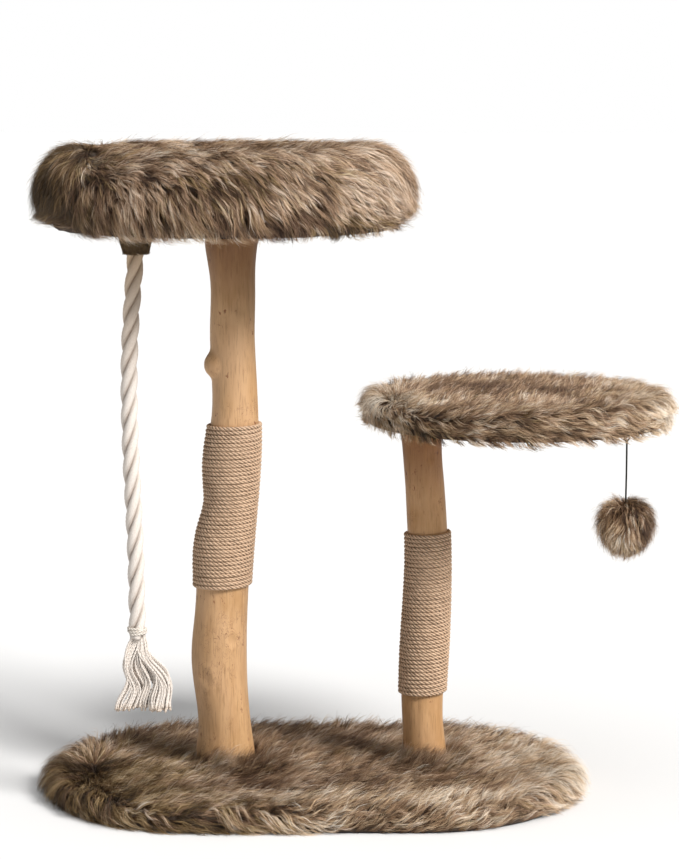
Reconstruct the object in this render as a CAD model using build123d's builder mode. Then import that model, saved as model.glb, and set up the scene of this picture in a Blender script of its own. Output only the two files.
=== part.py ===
"""Cat tree with two natural-branch posts, a furry oval base, an upper nest bed, a round shelf,
a hanging cotton rope and a pom-pom. Millimetres, +X to the right, +Y to the back, +Z up.
The origin is the centre of the base's underside, on the floor."""

import math
import os

from build123d import *

os.makedirs("parts", exist_ok=True)

# Driving dimensions ---------------------------------------------------------------------------

BASE_LENGTH = 680  # plywood, without the fur
BASE_DEPTH = 400
BASE_PLY = 18
BACKING = 2  # non-slip sheet under the base
POST_GAP = 1  # round a post, in cloth that it passes through
FUR = 8  # fur fabric with its pile pressed flat
FUR_ROUNDING = 7  # of the base cover's upper edge
HEM = 30  # width of a hem turned under a board
HEM_THICKNESS = 2
BACKING_INSET = 4  # the non-slip sheet ends this far inside the board's edge
SHELF_PLY = 15  # boards of the bed and of the shelf

BED_X = -112  # centre of the upper bed
BED_UNDERSIDE = 742  # underside of the bed's board
BED_RADIUS = 216
BOLSTER_RING = 192  # radius of the ring that the bolster's middle follows
BOLSTER_RADIUS = 46
BOLSTER_FILL = 40.5
BOLSTER_LIFT = 40  # its middle above the board
CLOTH = 1
LINING = 2
CUSHION_RADIUS = 143
CUSHION_HEIGHT = 36
CUSHION_EDGE = 12  # rounding of its rim
CUSHION_CROWN = 1300  # radius of its gently domed top
FABRIC = 4  # plush of the cushion's cover
ZIP_WIDTH = 6
ZIP_ARC = 100

SHELF_X = 262  # centre of the round shelf
SHELF_UNDERSIDE = 492
SHELF_RADIUS = 190
FOAM = 10
SHELF_HEM = 24
SHELF_HEM_THICKNESS = 3
BAND_WIDTH = 6
BAND_THICKNESS = 1.5

ROPE_X = -218
ROPE_Y = -110
ROPE_RADIUS = 10
BOOT_TOP = 26  # radius of the boot's domed top about its mouth
BOOT_MOUTH = 15.5
BOOT_FLARE = 23.7  # radius that its tapered side would reach at the top
SOCKET_PLAY = 0.4  # between the rope's rounded top and the boot
MOUTH_CHAMFER = 1.6
WHIPPING_RADIUS = 12
WHIPPING_HEIGHT = 10
WHIPPING_Z = 228  # where the whipping and the laid rope end

POMPOM_X = 401
POMPOM_Y = -40
POMPOM_Z = 360
POMPOM_RADIUS = 31
POMPOM_CORE = 25
EYE_RING = 5
EYE_WIRE = 1.2
EYE_GAP = 1  # between the eye's ring and the board
SCREW_DEPTH = 12
LOOP_RING = 4.5
KNOT_RING = 3
ELASTIC = 1
CORE_KNOT = 3  # knot at the elastic's lower end
LOOP_WIRE = 0.9

BOLT_RADIUS = 4
BOLT_LENGTH = 50
BOLT_HOLE = 4.5
HEAD_RADIUS = 7
HEAD_HEIGHT = 4.4
HEAD_ROUNDING = 2
SHANK_CHAMFER = 0.6
SOCKET_RADIUS = 2.9
SOCKET_DEPTH = 2.6
WASHER_RADIUS = 10
WASHER = 1.6
WASHER_PLAY = 0.2
COUNTERBORE_RADIUS = 11
COUNTERBORE = 7
INSERT_RADIUS = 6
INSERT_BORE = 4.05
INSERT_LENGTH = 25
BOLT_POCKET = 42  # depth of the bolt's hole in the end of a post

STAPLE_CROWN = 10
STAPLE_WIRE = 1.2
STAPLE_THIN = 0.6
STAPLE_LEG = 7
STRAIGHT_STAPLES = 5  # along each straight side of the base
ARC_STAPLES = 5  # round each end of the base
BED_STAPLES = 14
BED_STAPLE_START = 8  # degrees from +X

WRAP = 5.5  # thickness of the jute rope wound round a post
CLEARANCE = 0.3
BLOCK = 200  # larger than any section that it cuts
EDGE_RISE = 6  # how far the fur of the bed's edge reaches up beside the bolster

# Branch sections at equal steps from foot to head: centre along X, width along X, depth along Y
TALL_SECTIONS = [
    (-110.5, 67.5, 68),
    (-117, 70, 70),
    (-122, 70.5, 71),
    (-123, 71, 70),
    (-119.5, 67.5, 68),
    (-117, 70.5, 69),
    (-107.5, 62, 64),
    (-105.5, 67, 65),
    (-101.5, 59.5, 60),
    (-103, 58, 58),
    (-104, 58, 58.5),
    (-104, 59.5, 60),
    (-96, 67, 64),
]
SHORT_SECTIONS = [
    (145, 55, 54),
    (144, 54, 54),
    (143, 54.5, 54),
    (145.5, 56, 55),
    (148, 54, 55),
    (149, 52, 53),
    (146.3, 51.5, 52),
    (142, 51, 51),
    (136, 57, 54),
]
# The tassel: depth below the whipping, shift along X, half width, half depth
TASSEL_SECTIONS = [(0, 0, 11, 10.5), (26, 1, 17, 14), (62, 5, 27, 17), (98, 11, 36, 19)]
TALL_WRAP = (270, 488)  # lowest and highest edge of the winding
SHORT_WRAP = (127, 346)
STUB = (-123, -6, 563)  # centre of the branch stub's rounded end
STUB_RADIUS = 19
TALL_BOLT_OFFSET = 16  # half the distance between the two bolts of a post
SHORT_BOLT_OFFSET = 12

# Heights and places that follow from them ------------------------------------------------------

BASE_BOTTOM = BACKING + HEM_THICKNESS
BASE_TOP = BASE_BOTTOM + BASE_PLY
BED_TOP = BED_UNDERSIDE + SHELF_PLY
SHELF_TOP = SHELF_UNDERSIDE + SHELF_PLY
BOLSTER_Z = BED_TOP + BOLSTER_LIFT
LINING_TOP = BED_TOP + LINING
HEM_BOTTOM = BED_UNDERSIDE - HEM_THICKNESS
MOUTH_Z = BED_UNDERSIDE - CLOTH - CLEARANCE - BOOT_TOP

TALL_FOOT = TALL_SECTIONS[0][0]
TALL_HEAD = TALL_SECTIONS[-1][0]
SHORT_FOOT = SHORT_SECTIONS[0][0]
SHORT_HEAD = SHORT_SECTIONS[-1][0]


def bolt_pair(centre, offset):
    """The two bolt places of one end of a post, as x values."""
    return [centre - offset, centre + offset]


BASE_BOLTS = bolt_pair(TALL_FOOT, TALL_BOLT_OFFSET) + bolt_pair(SHORT_FOOT, SHORT_BOLT_OFFSET)
BED_BOLTS = bolt_pair(TALL_HEAD, TALL_BOLT_OFFSET)
SHELF_BOLTS = bolt_pair(SHORT_HEAD, SHORT_BOLT_OFFSET)

ON_FLOOR = (Align.CENTER, Align.CENTER, Align.MIN)
BED_AXIS = Axis((BED_X, 0, 0), (0, 0, 1))
BED_PLANE = Plane(origin=(BED_X, 0, 0), x_dir=(1, 0, 0), z_dir=(0, -1, 0))
zip_start = math.radians(90 - ZIP_ARC / 2)
ZIP_PLANE = Plane(
    origin=(BED_X, 0, 0),
    x_dir=(math.cos(zip_start), math.sin(zip_start), 0),
    z_dir=(math.sin(zip_start), -math.cos(zip_start), 0),
)


def branch(sections, head, grow=0):
    """A branch that stands on the base board and reaches up to its head, grown by an amount all round."""
    step = (head - BASE_TOP) / (len(sections) - 1)
    with BuildPart(mode=Mode.PRIVATE) as wood:
        for number, (x, width, depth) in enumerate(sections):
            with BuildSketch(Plane((x, 0, BASE_TOP + number * step))):
                Ellipse(width / 2 + grow, depth / 2 + grow)
        loft()
    return wood.part


def places(xs, height, turned=False):
    """Locations at y = 0 for a row of fasteners; turned is for those that point down."""
    return [Location((x, 0, height), (180 if turned else 0, 0, 0)) for x in xs]


# Fasteners, each drawn once about its own origin ------------------------------------------------

with BuildPart() as bolt_shape:  # origin under the head, shank up
    with BuildSketch():
        Circle(BOLT_RADIUS)
    extrude(amount=BOLT_LENGTH)
    with BuildSketch(Plane.XY.offset(-HEAD_HEIGHT)):
        Circle(HEAD_RADIUS)
    extrude(amount=HEAD_HEIGHT)
    fillet(bolt_shape.edges().group_by(Axis.Z)[0], HEAD_ROUNDING)
    with BuildSketch(Plane.XY.offset(-HEAD_HEIGHT)):
        RegularPolygon(radius=SOCKET_RADIUS, side_count=6)
    extrude(amount=SOCKET_DEPTH, mode=Mode.SUBTRACT)
    chamfer(bolt_shape.edges().group_by(Axis.Z)[-1], SHANK_CHAMFER)

with BuildPart() as washer_shape:  # origin at the centre of its lower face
    with BuildSketch():
        Circle(WASHER_RADIUS)
        Circle(BOLT_RADIUS + WASHER_PLAY, mode=Mode.SUBTRACT)
    extrude(amount=WASHER)

with BuildPart() as insert_shape:  # origin at the centre of its open end, body up
    with BuildSketch():
        Circle(INSERT_RADIUS)
        Circle(INSERT_BORE, mode=Mode.SUBTRACT)
    extrude(amount=INSERT_LENGTH)

with BuildPart() as staple_shape:  # origin under the crown's middle, crown along X, legs up
    with Locations((0, 0, STAPLE_THIN / 2)):
        Box(STAPLE_CROWN, STAPLE_WIRE, STAPLE_THIN)
    for side in (-1, 1):
        with Locations((side * (STAPLE_CROWN - STAPLE_THIN) / 2, 0, STAPLE_LEG / 2)):
            Box(STAPLE_THIN, STAPLE_WIRE, STAPLE_LEG)

# Base -------------------------------------------------------------------------------------------

staple_line = BASE_DEPTH / 2 - HEM / 2
straight = (BASE_LENGTH - BASE_DEPTH) / 2

with BuildPart() as base_staples:
    for side in (-1, 1):
        with Locations((0, side * staple_line, BACKING)):
            with GridLocations(2 * straight / (STRAIGHT_STAPLES - 1), 1, STRAIGHT_STAPLES, 1):
                add(staple_shape.part)
        for turn in range(1, ARC_STAPLES + 1):
            angle = 90 - 180 * turn / (ARC_STAPLES + 1)
            x = side * (straight + staple_line * math.cos(math.radians(angle)))
            y = staple_line * math.sin(math.radians(angle))
            with Locations(Location((x, y, BACKING), (0, 0, side * angle + 90))):
                add(staple_shape.part)
base_staples.part.label = "base_staples"
export_step(base_staples.part, "parts/base_staples.step")

with BuildPart() as base_board:
    with BuildSketch(Plane.XY.offset(BASE_BOTTOM)):
        SlotOverall(BASE_LENGTH, BASE_DEPTH)
    extrude(amount=BASE_PLY)
    with Locations(places(BASE_BOLTS, BASE_BOTTOM, turned=True)):
        CounterBoreHole(BOLT_HOLE, COUNTERBORE_RADIUS, COUNTERBORE, depth=BASE_PLY)
    add(base_staples.part, mode=Mode.SUBTRACT)
base_board.part.label = "base_board"
export_step(base_board.part, "parts/base_board.step")

with BuildPart() as base_fur_cover:
    with BuildSketch(Plane.XY.offset(BACKING)):
        SlotOverall(BASE_LENGTH + 2 * FUR, BASE_DEPTH + 2 * FUR)
    extrude(amount=BASE_TOP + FUR - BACKING)
    fillet(base_fur_cover.edges().group_by(Axis.Z)[-1], FUR_ROUNDING)
    with BuildSketch(Plane.XY.offset(BASE_BOTTOM)):
        SlotOverall(BASE_LENGTH, BASE_DEPTH)
    extrude(amount=BASE_PLY, mode=Mode.SUBTRACT)
    with BuildSketch(Plane.XY.offset(BACKING)):
        SlotOverall(BASE_LENGTH - 2 * HEM, BASE_DEPTH - 2 * HEM)
    extrude(amount=HEM_THICKNESS, mode=Mode.SUBTRACT)
    add(branch(TALL_SECTIONS, BED_UNDERSIDE, grow=POST_GAP), mode=Mode.SUBTRACT)
    add(branch(SHORT_SECTIONS, SHELF_UNDERSIDE, grow=POST_GAP), mode=Mode.SUBTRACT)
    add(base_staples.part, mode=Mode.SUBTRACT)
base_fur_cover.part.label = "base_fur_cover"
export_step(base_fur_cover.part, "parts/base_fur_cover.step")

with BuildPart() as base_backing:  # pressed up against the board inside the hem
    with BuildSketch():
        SlotOverall(BASE_LENGTH - 2 * BACKING_INSET, BASE_DEPTH - 2 * BACKING_INSET)
    extrude(amount=BACKING)
    with BuildSketch(Plane.XY.offset(BACKING)):
        SlotOverall(BASE_LENGTH - 2 * HEM, BASE_DEPTH - 2 * HEM)
    extrude(amount=HEM_THICKNESS)
    with BuildSketch():
        with Locations([(x, 0) for x in BASE_BOLTS]):
            Circle(COUNTERBORE_RADIUS)
    extrude(amount=BASE_BOTTOM, mode=Mode.SUBTRACT)
base_backing.part.label = "base_backing"
export_step(base_backing.part, "parts/base_backing.step")

base_seat = BASE_BOTTOM + COUNTERBORE - WASHER

with BuildPart() as base_bolts:
    with Locations(places(BASE_BOLTS, base_seat)):
        add(bolt_shape.part)
base_bolts.part.label = "base_bolts"
export_step(base_bolts.part, "parts/base_bolts.step")

with BuildPart() as base_washers:
    with Locations(places(BASE_BOLTS, base_seat)):
        add(washer_shape.part)
base_washers.part.label = "base_washers"
export_step(base_washers.part, "parts/base_washers.step")

# Tall post --------------------------------------------------------------------------------------

with BuildPart() as tall_post:
    add(branch(TALL_SECTIONS, BED_UNDERSIDE))
    with Locations(STUB):
        Sphere(STUB_RADIUS)
    for xs, end, way in (
        (bolt_pair(TALL_FOOT, TALL_BOLT_OFFSET), BASE_TOP, 1),
        (BED_BOLTS, BED_UNDERSIDE, -1),
    ):
        for radius, reach in ((INSERT_RADIUS, INSERT_LENGTH), (BOLT_HOLE, BOLT_POCKET)):
            with BuildSketch(Plane.XY.offset(end)):
                with Locations([(x, 0) for x in xs]):
                    Circle(radius)
            extrude(amount=way * reach, mode=Mode.SUBTRACT)
tall_post.part.label = "tall_post"
export_step(tall_post.part, "parts/tall_post.step")

with BuildPart() as tall_post_inserts:
    with Locations(places(bolt_pair(TALL_FOOT, TALL_BOLT_OFFSET), BASE_TOP)):
        add(insert_shape.part)
    with Locations(places(BED_BOLTS, BED_UNDERSIDE, turned=True)):
        add(insert_shape.part)
tall_post_inserts.part.label = "tall_post_inserts"
export_step(tall_post_inserts.part, "parts/tall_post_inserts.step")

with BuildPart() as tall_post_wrap:
    add(branch(TALL_SECTIONS, BED_UNDERSIDE, grow=WRAP))
    with Locations((TALL_FOOT, 0, TALL_WRAP[0])):
        Box(BLOCK, BLOCK, TALL_WRAP[1] - TALL_WRAP[0], align=ON_FLOOR, mode=Mode.INTERSECT)
    add(tall_post.part, mode=Mode.SUBTRACT)
tall_post_wrap.part.label = "tall_post_wrap"
export_step(tall_post_wrap.part, "parts/tall_post_wrap.step")

# Short post -------------------------------------------------------------------------------------

with BuildPart() as short_post:
    add(branch(SHORT_SECTIONS, SHELF_UNDERSIDE))
    for xs, end, way in (
        (bolt_pair(SHORT_FOOT, SHORT_BOLT_OFFSET), BASE_TOP, 1),
        (SHELF_BOLTS, SHELF_UNDERSIDE, -1),
    ):
        for radius, reach in ((INSERT_RADIUS, INSERT_LENGTH), (BOLT_HOLE, BOLT_POCKET)):
            with BuildSketch(Plane.XY.offset(end)):
                with Locations([(x, 0) for x in xs]):
                    Circle(radius)
            extrude(amount=way * reach, mode=Mode.SUBTRACT)
short_post.part.label = "short_post"
export_step(short_post.part, "parts/short_post.step")

with BuildPart() as short_post_inserts:
    with Locations(places(bolt_pair(SHORT_FOOT, SHORT_BOLT_OFFSET), BASE_TOP)):
        add(insert_shape.part)
    with Locations(places(SHELF_BOLTS, SHELF_UNDERSIDE, turned=True)):
        add(insert_shape.part)
short_post_inserts.part.label = "short_post_inserts"
export_step(short_post_inserts.part, "parts/short_post_inserts.step")

with BuildPart() as short_post_wrap:
    add(branch(SHORT_SECTIONS, SHELF_UNDERSIDE, grow=WRAP))
    with Locations((SHORT_FOOT, 0, SHORT_WRAP[0])):
        Box(BLOCK, BLOCK, SHORT_WRAP[1] - SHORT_WRAP[0], align=ON_FLOOR, mode=Mode.INTERSECT)
    add(short_post.part, mode=Mode.SUBTRACT)
short_post_wrap.part.label = "short_post_wrap"
export_step(short_post_wrap.part, "parts/short_post_wrap.step")

# Upper bed --------------------------------------------------------------------------------------

with BuildPart() as bed_staples:
    with Locations((BED_X, 0, HEM_BOTTOM)):
        with PolarLocations(BED_RADIUS - HEM / 2, BED_STAPLES, start_angle=BED_STAPLE_START):
            with Locations(Location((0, 0, 0), (0, 0, 90))):
                add(staple_shape.part)
bed_staples.part.label = "bed_staples"
export_step(bed_staples.part, "parts/bed_staples.step")

with BuildPart() as bed_board:
    with BuildSketch(Plane.XY.offset(BED_UNDERSIDE)):
        with Locations((BED_X, 0)):
            Circle(BED_RADIUS)
    extrude(amount=SHELF_PLY)
    with Locations(places(BED_BOLTS, BED_TOP)):
        CounterBoreHole(BOLT_HOLE, COUNTERBORE_RADIUS, COUNTERBORE, depth=SHELF_PLY)
    add(bed_staples.part, mode=Mode.SUBTRACT)
bed_board.part.label = "bed_board"
export_step(bed_board.part, "parts/bed_board.step")

bed_seat = BED_TOP - COUNTERBORE + WASHER

with BuildPart() as bed_bolts:
    with Locations(places(BED_BOLTS, bed_seat, turned=True)):
        add(bolt_shape.part)
bed_bolts.part.label = "bed_bolts"
export_step(bed_bolts.part, "parts/bed_bolts.step")

with BuildPart() as bed_washers:
    with Locations(places(BED_BOLTS, bed_seat, turned=True)):
        add(washer_shape.part)
bed_washers.part.label = "bed_washers"
export_step(bed_washers.part, "parts/bed_washers.step")

with BuildPart() as bed_edge_cover:
    with BuildSketch(BED_PLANE):
        with BuildLine():
            Polyline(
                (BED_RADIUS - HEM, HEM_BOTTOM),
                (BED_RADIUS + FUR, HEM_BOTTOM),
                (BED_RADIUS + FUR, BED_TOP + EDGE_RISE),
                (BED_RADIUS, BED_TOP + EDGE_RISE),
                (BED_RADIUS, BED_UNDERSIDE),
                (BED_RADIUS - HEM, BED_UNDERSIDE),
                close=True,
            )
        make_face()
        with Locations((BOLSTER_RING, BOLSTER_Z)):
            Circle(BOLSTER_RADIUS + CLEARANCE, mode=Mode.SUBTRACT)
    revolve(axis=BED_AXIS)
    lower_edges = bed_edge_cover.edges().filter_by(GeomType.CIRCLE).group_by(Axis.Z)[0]
    fillet(lower_edges.sort_by(SortBy.RADIUS)[-1], FUR)
    add(bed_staples.part, mode=Mode.SUBTRACT)
bed_edge_cover.part.label = "bed_edge_cover"
export_step(bed_edge_cover.part, "parts/bed_edge_cover.step")

with BuildPart() as bed_underside_cloth:  # covers the hem, and lies against the board inside it
    with BuildSketch(BED_PLANE):
        with BuildLine():
            Polyline(
                (0, BED_UNDERSIDE - CLOTH),
                (0, BED_UNDERSIDE),
                (BED_RADIUS - HEM, BED_UNDERSIDE),
                (BED_RADIUS - HEM, HEM_BOTTOM),
                (BED_RADIUS - CLOTH, HEM_BOTTOM),
                (BED_RADIUS - CLOTH, HEM_BOTTOM - CLOTH),
                (BED_RADIUS - HEM - CLOTH, HEM_BOTTOM - CLOTH),
                (BED_RADIUS - HEM - CLOTH, BED_UNDERSIDE - CLOTH),
                close=True,
            )
        make_face()
    revolve(axis=BED_AXIS)
    with BuildSketch(Plane.XY.offset(BED_UNDERSIDE - CLOTH)):
        with Locations((TALL_HEAD, 0)):
            Ellipse(TALL_SECTIONS[-1][1] / 2 + POST_GAP, TALL_SECTIONS[-1][2] / 2 + POST_GAP)
    extrude(amount=CLOTH, mode=Mode.SUBTRACT)
bed_underside_cloth.part.label = "bed_underside_cloth"
export_step(bed_underside_cloth.part, "parts/bed_underside_cloth.step")

with BuildPart() as bed_bolster_fill:
    with BuildSketch(BED_PLANE):
        with Locations((BOLSTER_RING, BOLSTER_Z)):
            Circle(BOLSTER_FILL)
        with Locations((BOLSTER_RING, BED_TOP)):
            Rectangle(BLOCK, BLOCK, align=(Align.CENTER, Align.MAX), mode=Mode.SUBTRACT)
    revolve(axis=BED_AXIS)
bed_bolster_fill.part.label = "bed_bolster_fill"
export_step(bed_bolster_fill.part, "parts/bed_bolster_fill.step")

with BuildPart() as bed_bolster_cover:  # open underneath, where its edges are fixed to the board
    with BuildSketch(BED_PLANE):
        with Locations((BOLSTER_RING, BOLSTER_Z)):
            Circle(BOLSTER_RADIUS)
            Circle(BOLSTER_FILL, mode=Mode.SUBTRACT)
        with Locations((BOLSTER_RING, BED_TOP)):
            Rectangle(BLOCK, BLOCK, align=(Align.CENTER, Align.MAX), mode=Mode.SUBTRACT)
    revolve(axis=BED_AXIS)
bed_bolster_cover.part.label = "bed_bolster_cover"
export_step(bed_bolster_cover.part, "parts/bed_bolster_cover.step")

bolster_foot = math.sqrt(BOLSTER_RADIUS**2 - (BOLSTER_Z - LINING_TOP) ** 2)

with BuildPart() as bed_floor_lining:
    with BuildSketch(Plane.XY.offset(BED_TOP)):
        with Locations((BED_X, 0)):
            Circle(BOLSTER_RING - bolster_foot - CLEARANCE)
        with Locations([(x, 0) for x in BED_BOLTS]):
            Circle(COUNTERBORE_RADIUS, mode=Mode.SUBTRACT)
    extrude(amount=LINING)
bed_floor_lining.part.label = "bed_floor_lining"
export_step(bed_floor_lining.part, "parts/bed_floor_lining.step")

cushion_floor = LINING_TOP + CLEARANCE


def cushion_solid(inset):
    """The crowned cushion, drawn inside its cover by the inset."""
    bottom = cushion_floor + inset
    height = CUSHION_HEIGHT - 2 * inset
    with BuildPart(mode=Mode.PRIVATE) as cushion:
        with BuildSketch(Plane.XY.offset(bottom)):
            with Locations((BED_X, 0)):
                Circle(CUSHION_RADIUS - inset)
        extrude(amount=height)
        with Locations((BED_X, 0, bottom + height - CUSHION_CROWN)):
            Sphere(CUSHION_CROWN, mode=Mode.INTERSECT)
        fillet(cushion.edges().filter_by(GeomType.CIRCLE), CUSHION_EDGE - inset)
    return cushion.part


with BuildPart() as bed_cushion_fill:
    add(cushion_solid(FABRIC))
bed_cushion_fill.part.label = "bed_cushion_fill"
export_step(bed_cushion_fill.part, "parts/bed_cushion_fill.step")

with BuildPart() as bed_cushion_zip:  # closes a slit round the back of the cover
    with BuildSketch(ZIP_PLANE):
        with Locations((CUSHION_RADIUS - FABRIC, cushion_floor + CUSHION_HEIGHT / 2)):
            Rectangle(FABRIC, ZIP_WIDTH, align=(Align.MIN, Align.CENTER))
    revolve(axis=BED_AXIS, revolution_arc=ZIP_ARC)
bed_cushion_zip.part.label = "bed_cushion_zip"
export_step(bed_cushion_zip.part, "parts/bed_cushion_zip.step")

with BuildPart() as bed_cushion_cover:
    add(cushion_solid(0))
    add(bed_cushion_fill.part, mode=Mode.SUBTRACT)
    add(bed_cushion_zip.part, mode=Mode.SUBTRACT)
bed_cushion_cover.part.label = "bed_cushion_cover"
export_step(bed_cushion_cover.part, "parts/bed_cushion_cover.step")

# Hanging rope -----------------------------------------------------------------------------------

socket = ROPE_RADIUS + SOCKET_PLAY

with BuildPart() as rope_boot:
    with Locations((ROPE_X, ROPE_Y, MOUTH_Z)):
        Cone(BOOT_MOUTH, BOOT_FLARE, BOOT_TOP, align=ON_FLOOR)
        Sphere(BOOT_TOP, mode=Mode.INTERSECT)
        Sphere(socket, mode=Mode.SUBTRACT)
    mouth_edge = rope_boot.edges().filter_by(GeomType.CIRCLE).group_by(Axis.Z)[0]
    chamfer(mouth_edge.sort_by(SortBy.RADIUS)[0], MOUTH_CHAMFER)
rope_boot.part.label = "rope_boot"
export_step(rope_boot.part, "parts/rope_boot.step")

rope_route = [
    Vector(ROPE_X, ROPE_Y, MOUTH_Z),
    Vector(ROPE_X - 5.5, ROPE_Y, MOUTH_Z - 56),
    Vector(ROPE_X - 11, ROPE_Y + 1, 570),
    Vector(ROPE_X - 10, ROPE_Y - 1, 470),
    Vector(ROPE_X - 6, ROPE_Y, 376),
    Vector(ROPE_X - 4, ROPE_Y, 298),
    Vector(ROPE_X - 4, ROPE_Y, WHIPPING_Z),
]


def route_radii(points):
    """Each arc of a route is as large as its two runs allow."""
    radii = []
    for before, corner, after in zip(points, points[1:], points[2:]):
        run_in = corner - before
        run_out = after - corner
        turn = math.radians(run_in.get_angle(run_out))
        radii.append(0.45 * min(run_in.length, run_out.length) / math.tan(turn / 2))
    return radii


rope_radii = route_radii(rope_route)
print("rope arc radii, mm:", [round(r) for r in rope_radii])

with BuildPart() as hanging_rope:
    with BuildLine():
        rope_path = FilletPolyline(*rope_route, radius=rope_radii)
    with BuildSketch(Plane(origin=rope_path @ 0, z_dir=rope_path % 0)):
        Circle(ROPE_RADIUS)
    sweep()
    with Locations(rope_route[0]):
        Sphere(ROPE_RADIUS)
rope_length = rope_path.length
tube_volume = math.pi * ROPE_RADIUS**2 * rope_length
print(f"rope centreline {rope_length:.1f} mm, tube {tube_volume:.0f}, solid {hanging_rope.part.volume:.0f}")
hanging_rope.part.label = "hanging_rope"
export_step(hanging_rope.part, "parts/hanging_rope.step")

rope_end = rope_route[-1]

with BuildPart() as rope_whipping:
    with BuildSketch(Plane(rope_end)):
        Circle(WHIPPING_RADIUS)
    extrude(amount=WHIPPING_HEIGHT)
    add(hanging_rope.part, mode=Mode.SUBTRACT)
rope_whipping.part.label = "rope_whipping"
export_step(rope_whipping.part, "parts/rope_whipping.step")

with BuildPart() as rope_tassel:
    for drop, shift, half_width, half_depth in TASSEL_SECTIONS:
        with BuildSketch(Plane((rope_end.X + shift, rope_end.Y, rope_end.Z - drop))):
            Ellipse(half_width, half_depth)
    loft()
rope_tassel.part.label = "rope_tassel"
export_step(rope_tassel.part, "parts/rope_tassel.step")

# Round shelf ------------------------------------------------------------------------------------

eye_ring_z = SHELF_UNDERSIDE - EYE_GAP - EYE_WIRE - EYE_RING
eye_wire_z = eye_ring_z - EYE_RING  # the eye's lowest wire, which the loop hangs on

with BuildPart() as pompom_eye:
    with Locations(Location((POMPOM_X, POMPOM_Y, eye_ring_z), (90, 0, 0))):
        Torus(EYE_RING, EYE_WIRE)
    with BuildSketch(Plane((POMPOM_X, POMPOM_Y, eye_ring_z + EYE_RING))):
        Circle(EYE_WIRE)
    extrude(amount=SHELF_UNDERSIDE + SCREW_DEPTH - eye_ring_z - EYE_RING)
pompom_eye.part.label = "pompom_eye"
export_step(pompom_eye.part, "parts/pompom_eye.step")

with BuildPart() as platform_board:
    with BuildSketch(Plane.XY.offset(SHELF_UNDERSIDE)):
        with Locations((SHELF_X, 0)):
            Circle(SHELF_RADIUS)
    extrude(amount=SHELF_PLY)
    with Locations(places(SHELF_BOLTS, SHELF_TOP)):
        CounterBoreHole(BOLT_HOLE, COUNTERBORE_RADIUS, COUNTERBORE, depth=SHELF_PLY)
    add(pompom_eye.part, mode=Mode.SUBTRACT)
platform_board.part.label = "platform_board"
export_step(platform_board.part, "parts/platform_board.step")

shelf_seat = SHELF_TOP - COUNTERBORE + WASHER

with BuildPart() as platform_bolts:
    with Locations(places(SHELF_BOLTS, shelf_seat, turned=True)):
        add(bolt_shape.part)
platform_bolts.part.label = "platform_bolts"
export_step(platform_bolts.part, "parts/platform_bolts.step")

with BuildPart() as platform_washers:
    with Locations(places(SHELF_BOLTS, shelf_seat, turned=True)):
        add(washer_shape.part)
platform_washers.part.label = "platform_washers"
export_step(platform_washers.part, "parts/platform_washers.step")

with BuildPart() as platform_foam:
    with BuildSketch(Plane.XY.offset(SHELF_TOP)):
        with Locations((SHELF_X, 0)):
            Circle(SHELF_RADIUS)
    extrude(amount=FOAM)
platform_foam.part.label = "platform_foam"
export_step(platform_foam.part, "parts/platform_foam.step")

with BuildPart() as platform_fur_cover:  # slips over the board and the foam
    with BuildSketch(Plane.XY.offset(SHELF_UNDERSIDE - SHELF_HEM_THICKNESS)):
        with Locations((SHELF_X, 0)):
            Circle(SHELF_RADIUS + FUR)
    extrude(amount=SHELF_HEM_THICKNESS + SHELF_PLY + FOAM + FUR)
    fillet(platform_fur_cover.edges().group_by(Axis.Z)[-1], FUR)
    fillet(platform_fur_cover.edges().group_by(Axis.Z)[0], SHELF_HEM_THICKNESS)
    with BuildSketch(Plane.XY.offset(SHELF_UNDERSIDE)):
        with Locations((SHELF_X, 0)):
            Circle(SHELF_RADIUS)
    extrude(amount=SHELF_PLY + FOAM, mode=Mode.SUBTRACT)
    with BuildSketch(Plane.XY.offset(SHELF_UNDERSIDE - SHELF_HEM_THICKNESS)):
        with Locations((SHELF_X, 0)):
            Circle(SHELF_RADIUS - SHELF_HEM)
    extrude(amount=SHELF_HEM_THICKNESS, mode=Mode.SUBTRACT)
platform_fur_cover.part.label = "platform_fur_cover"
export_step(platform_fur_cover.part, "parts/platform_fur_cover.step")

with BuildPart() as platform_hem_elastic:
    with BuildSketch(Plane.XY.offset(SHELF_UNDERSIDE - BAND_THICKNESS)):
        with Locations((SHELF_X, 0)):
            Circle(SHELF_RADIUS - SHELF_HEM)
            Circle(SHELF_RADIUS - SHELF_HEM - BAND_WIDTH, mode=Mode.SUBTRACT)
    extrude(amount=BAND_THICKNESS)
platform_hem_elastic.part.label = "platform_hem_elastic"
export_step(platform_hem_elastic.part, "parts/platform_hem_elastic.step")

# Pom-pom: a loop of elastic hangs on the eye, and the elastic's knotted ring hangs on the loop ---

gap = EYE_WIRE + CLEARANCE + LOOP_WIRE
loop_z = eye_wire_z + gap - LOOP_RING
loop_wire_z = loop_z - LOOP_RING
knot_z = loop_wire_z + 2 * LOOP_WIRE + CLEARANCE - KNOT_RING

with BuildPart() as pompom_loop:
    with Locations(Location((POMPOM_X, POMPOM_Y, loop_z), (0, 90, 0))):
        Torus(LOOP_RING, LOOP_WIRE)
pompom_loop.part.label = "pompom_loop"
export_step(pompom_loop.part, "parts/pompom_loop.step")

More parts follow.
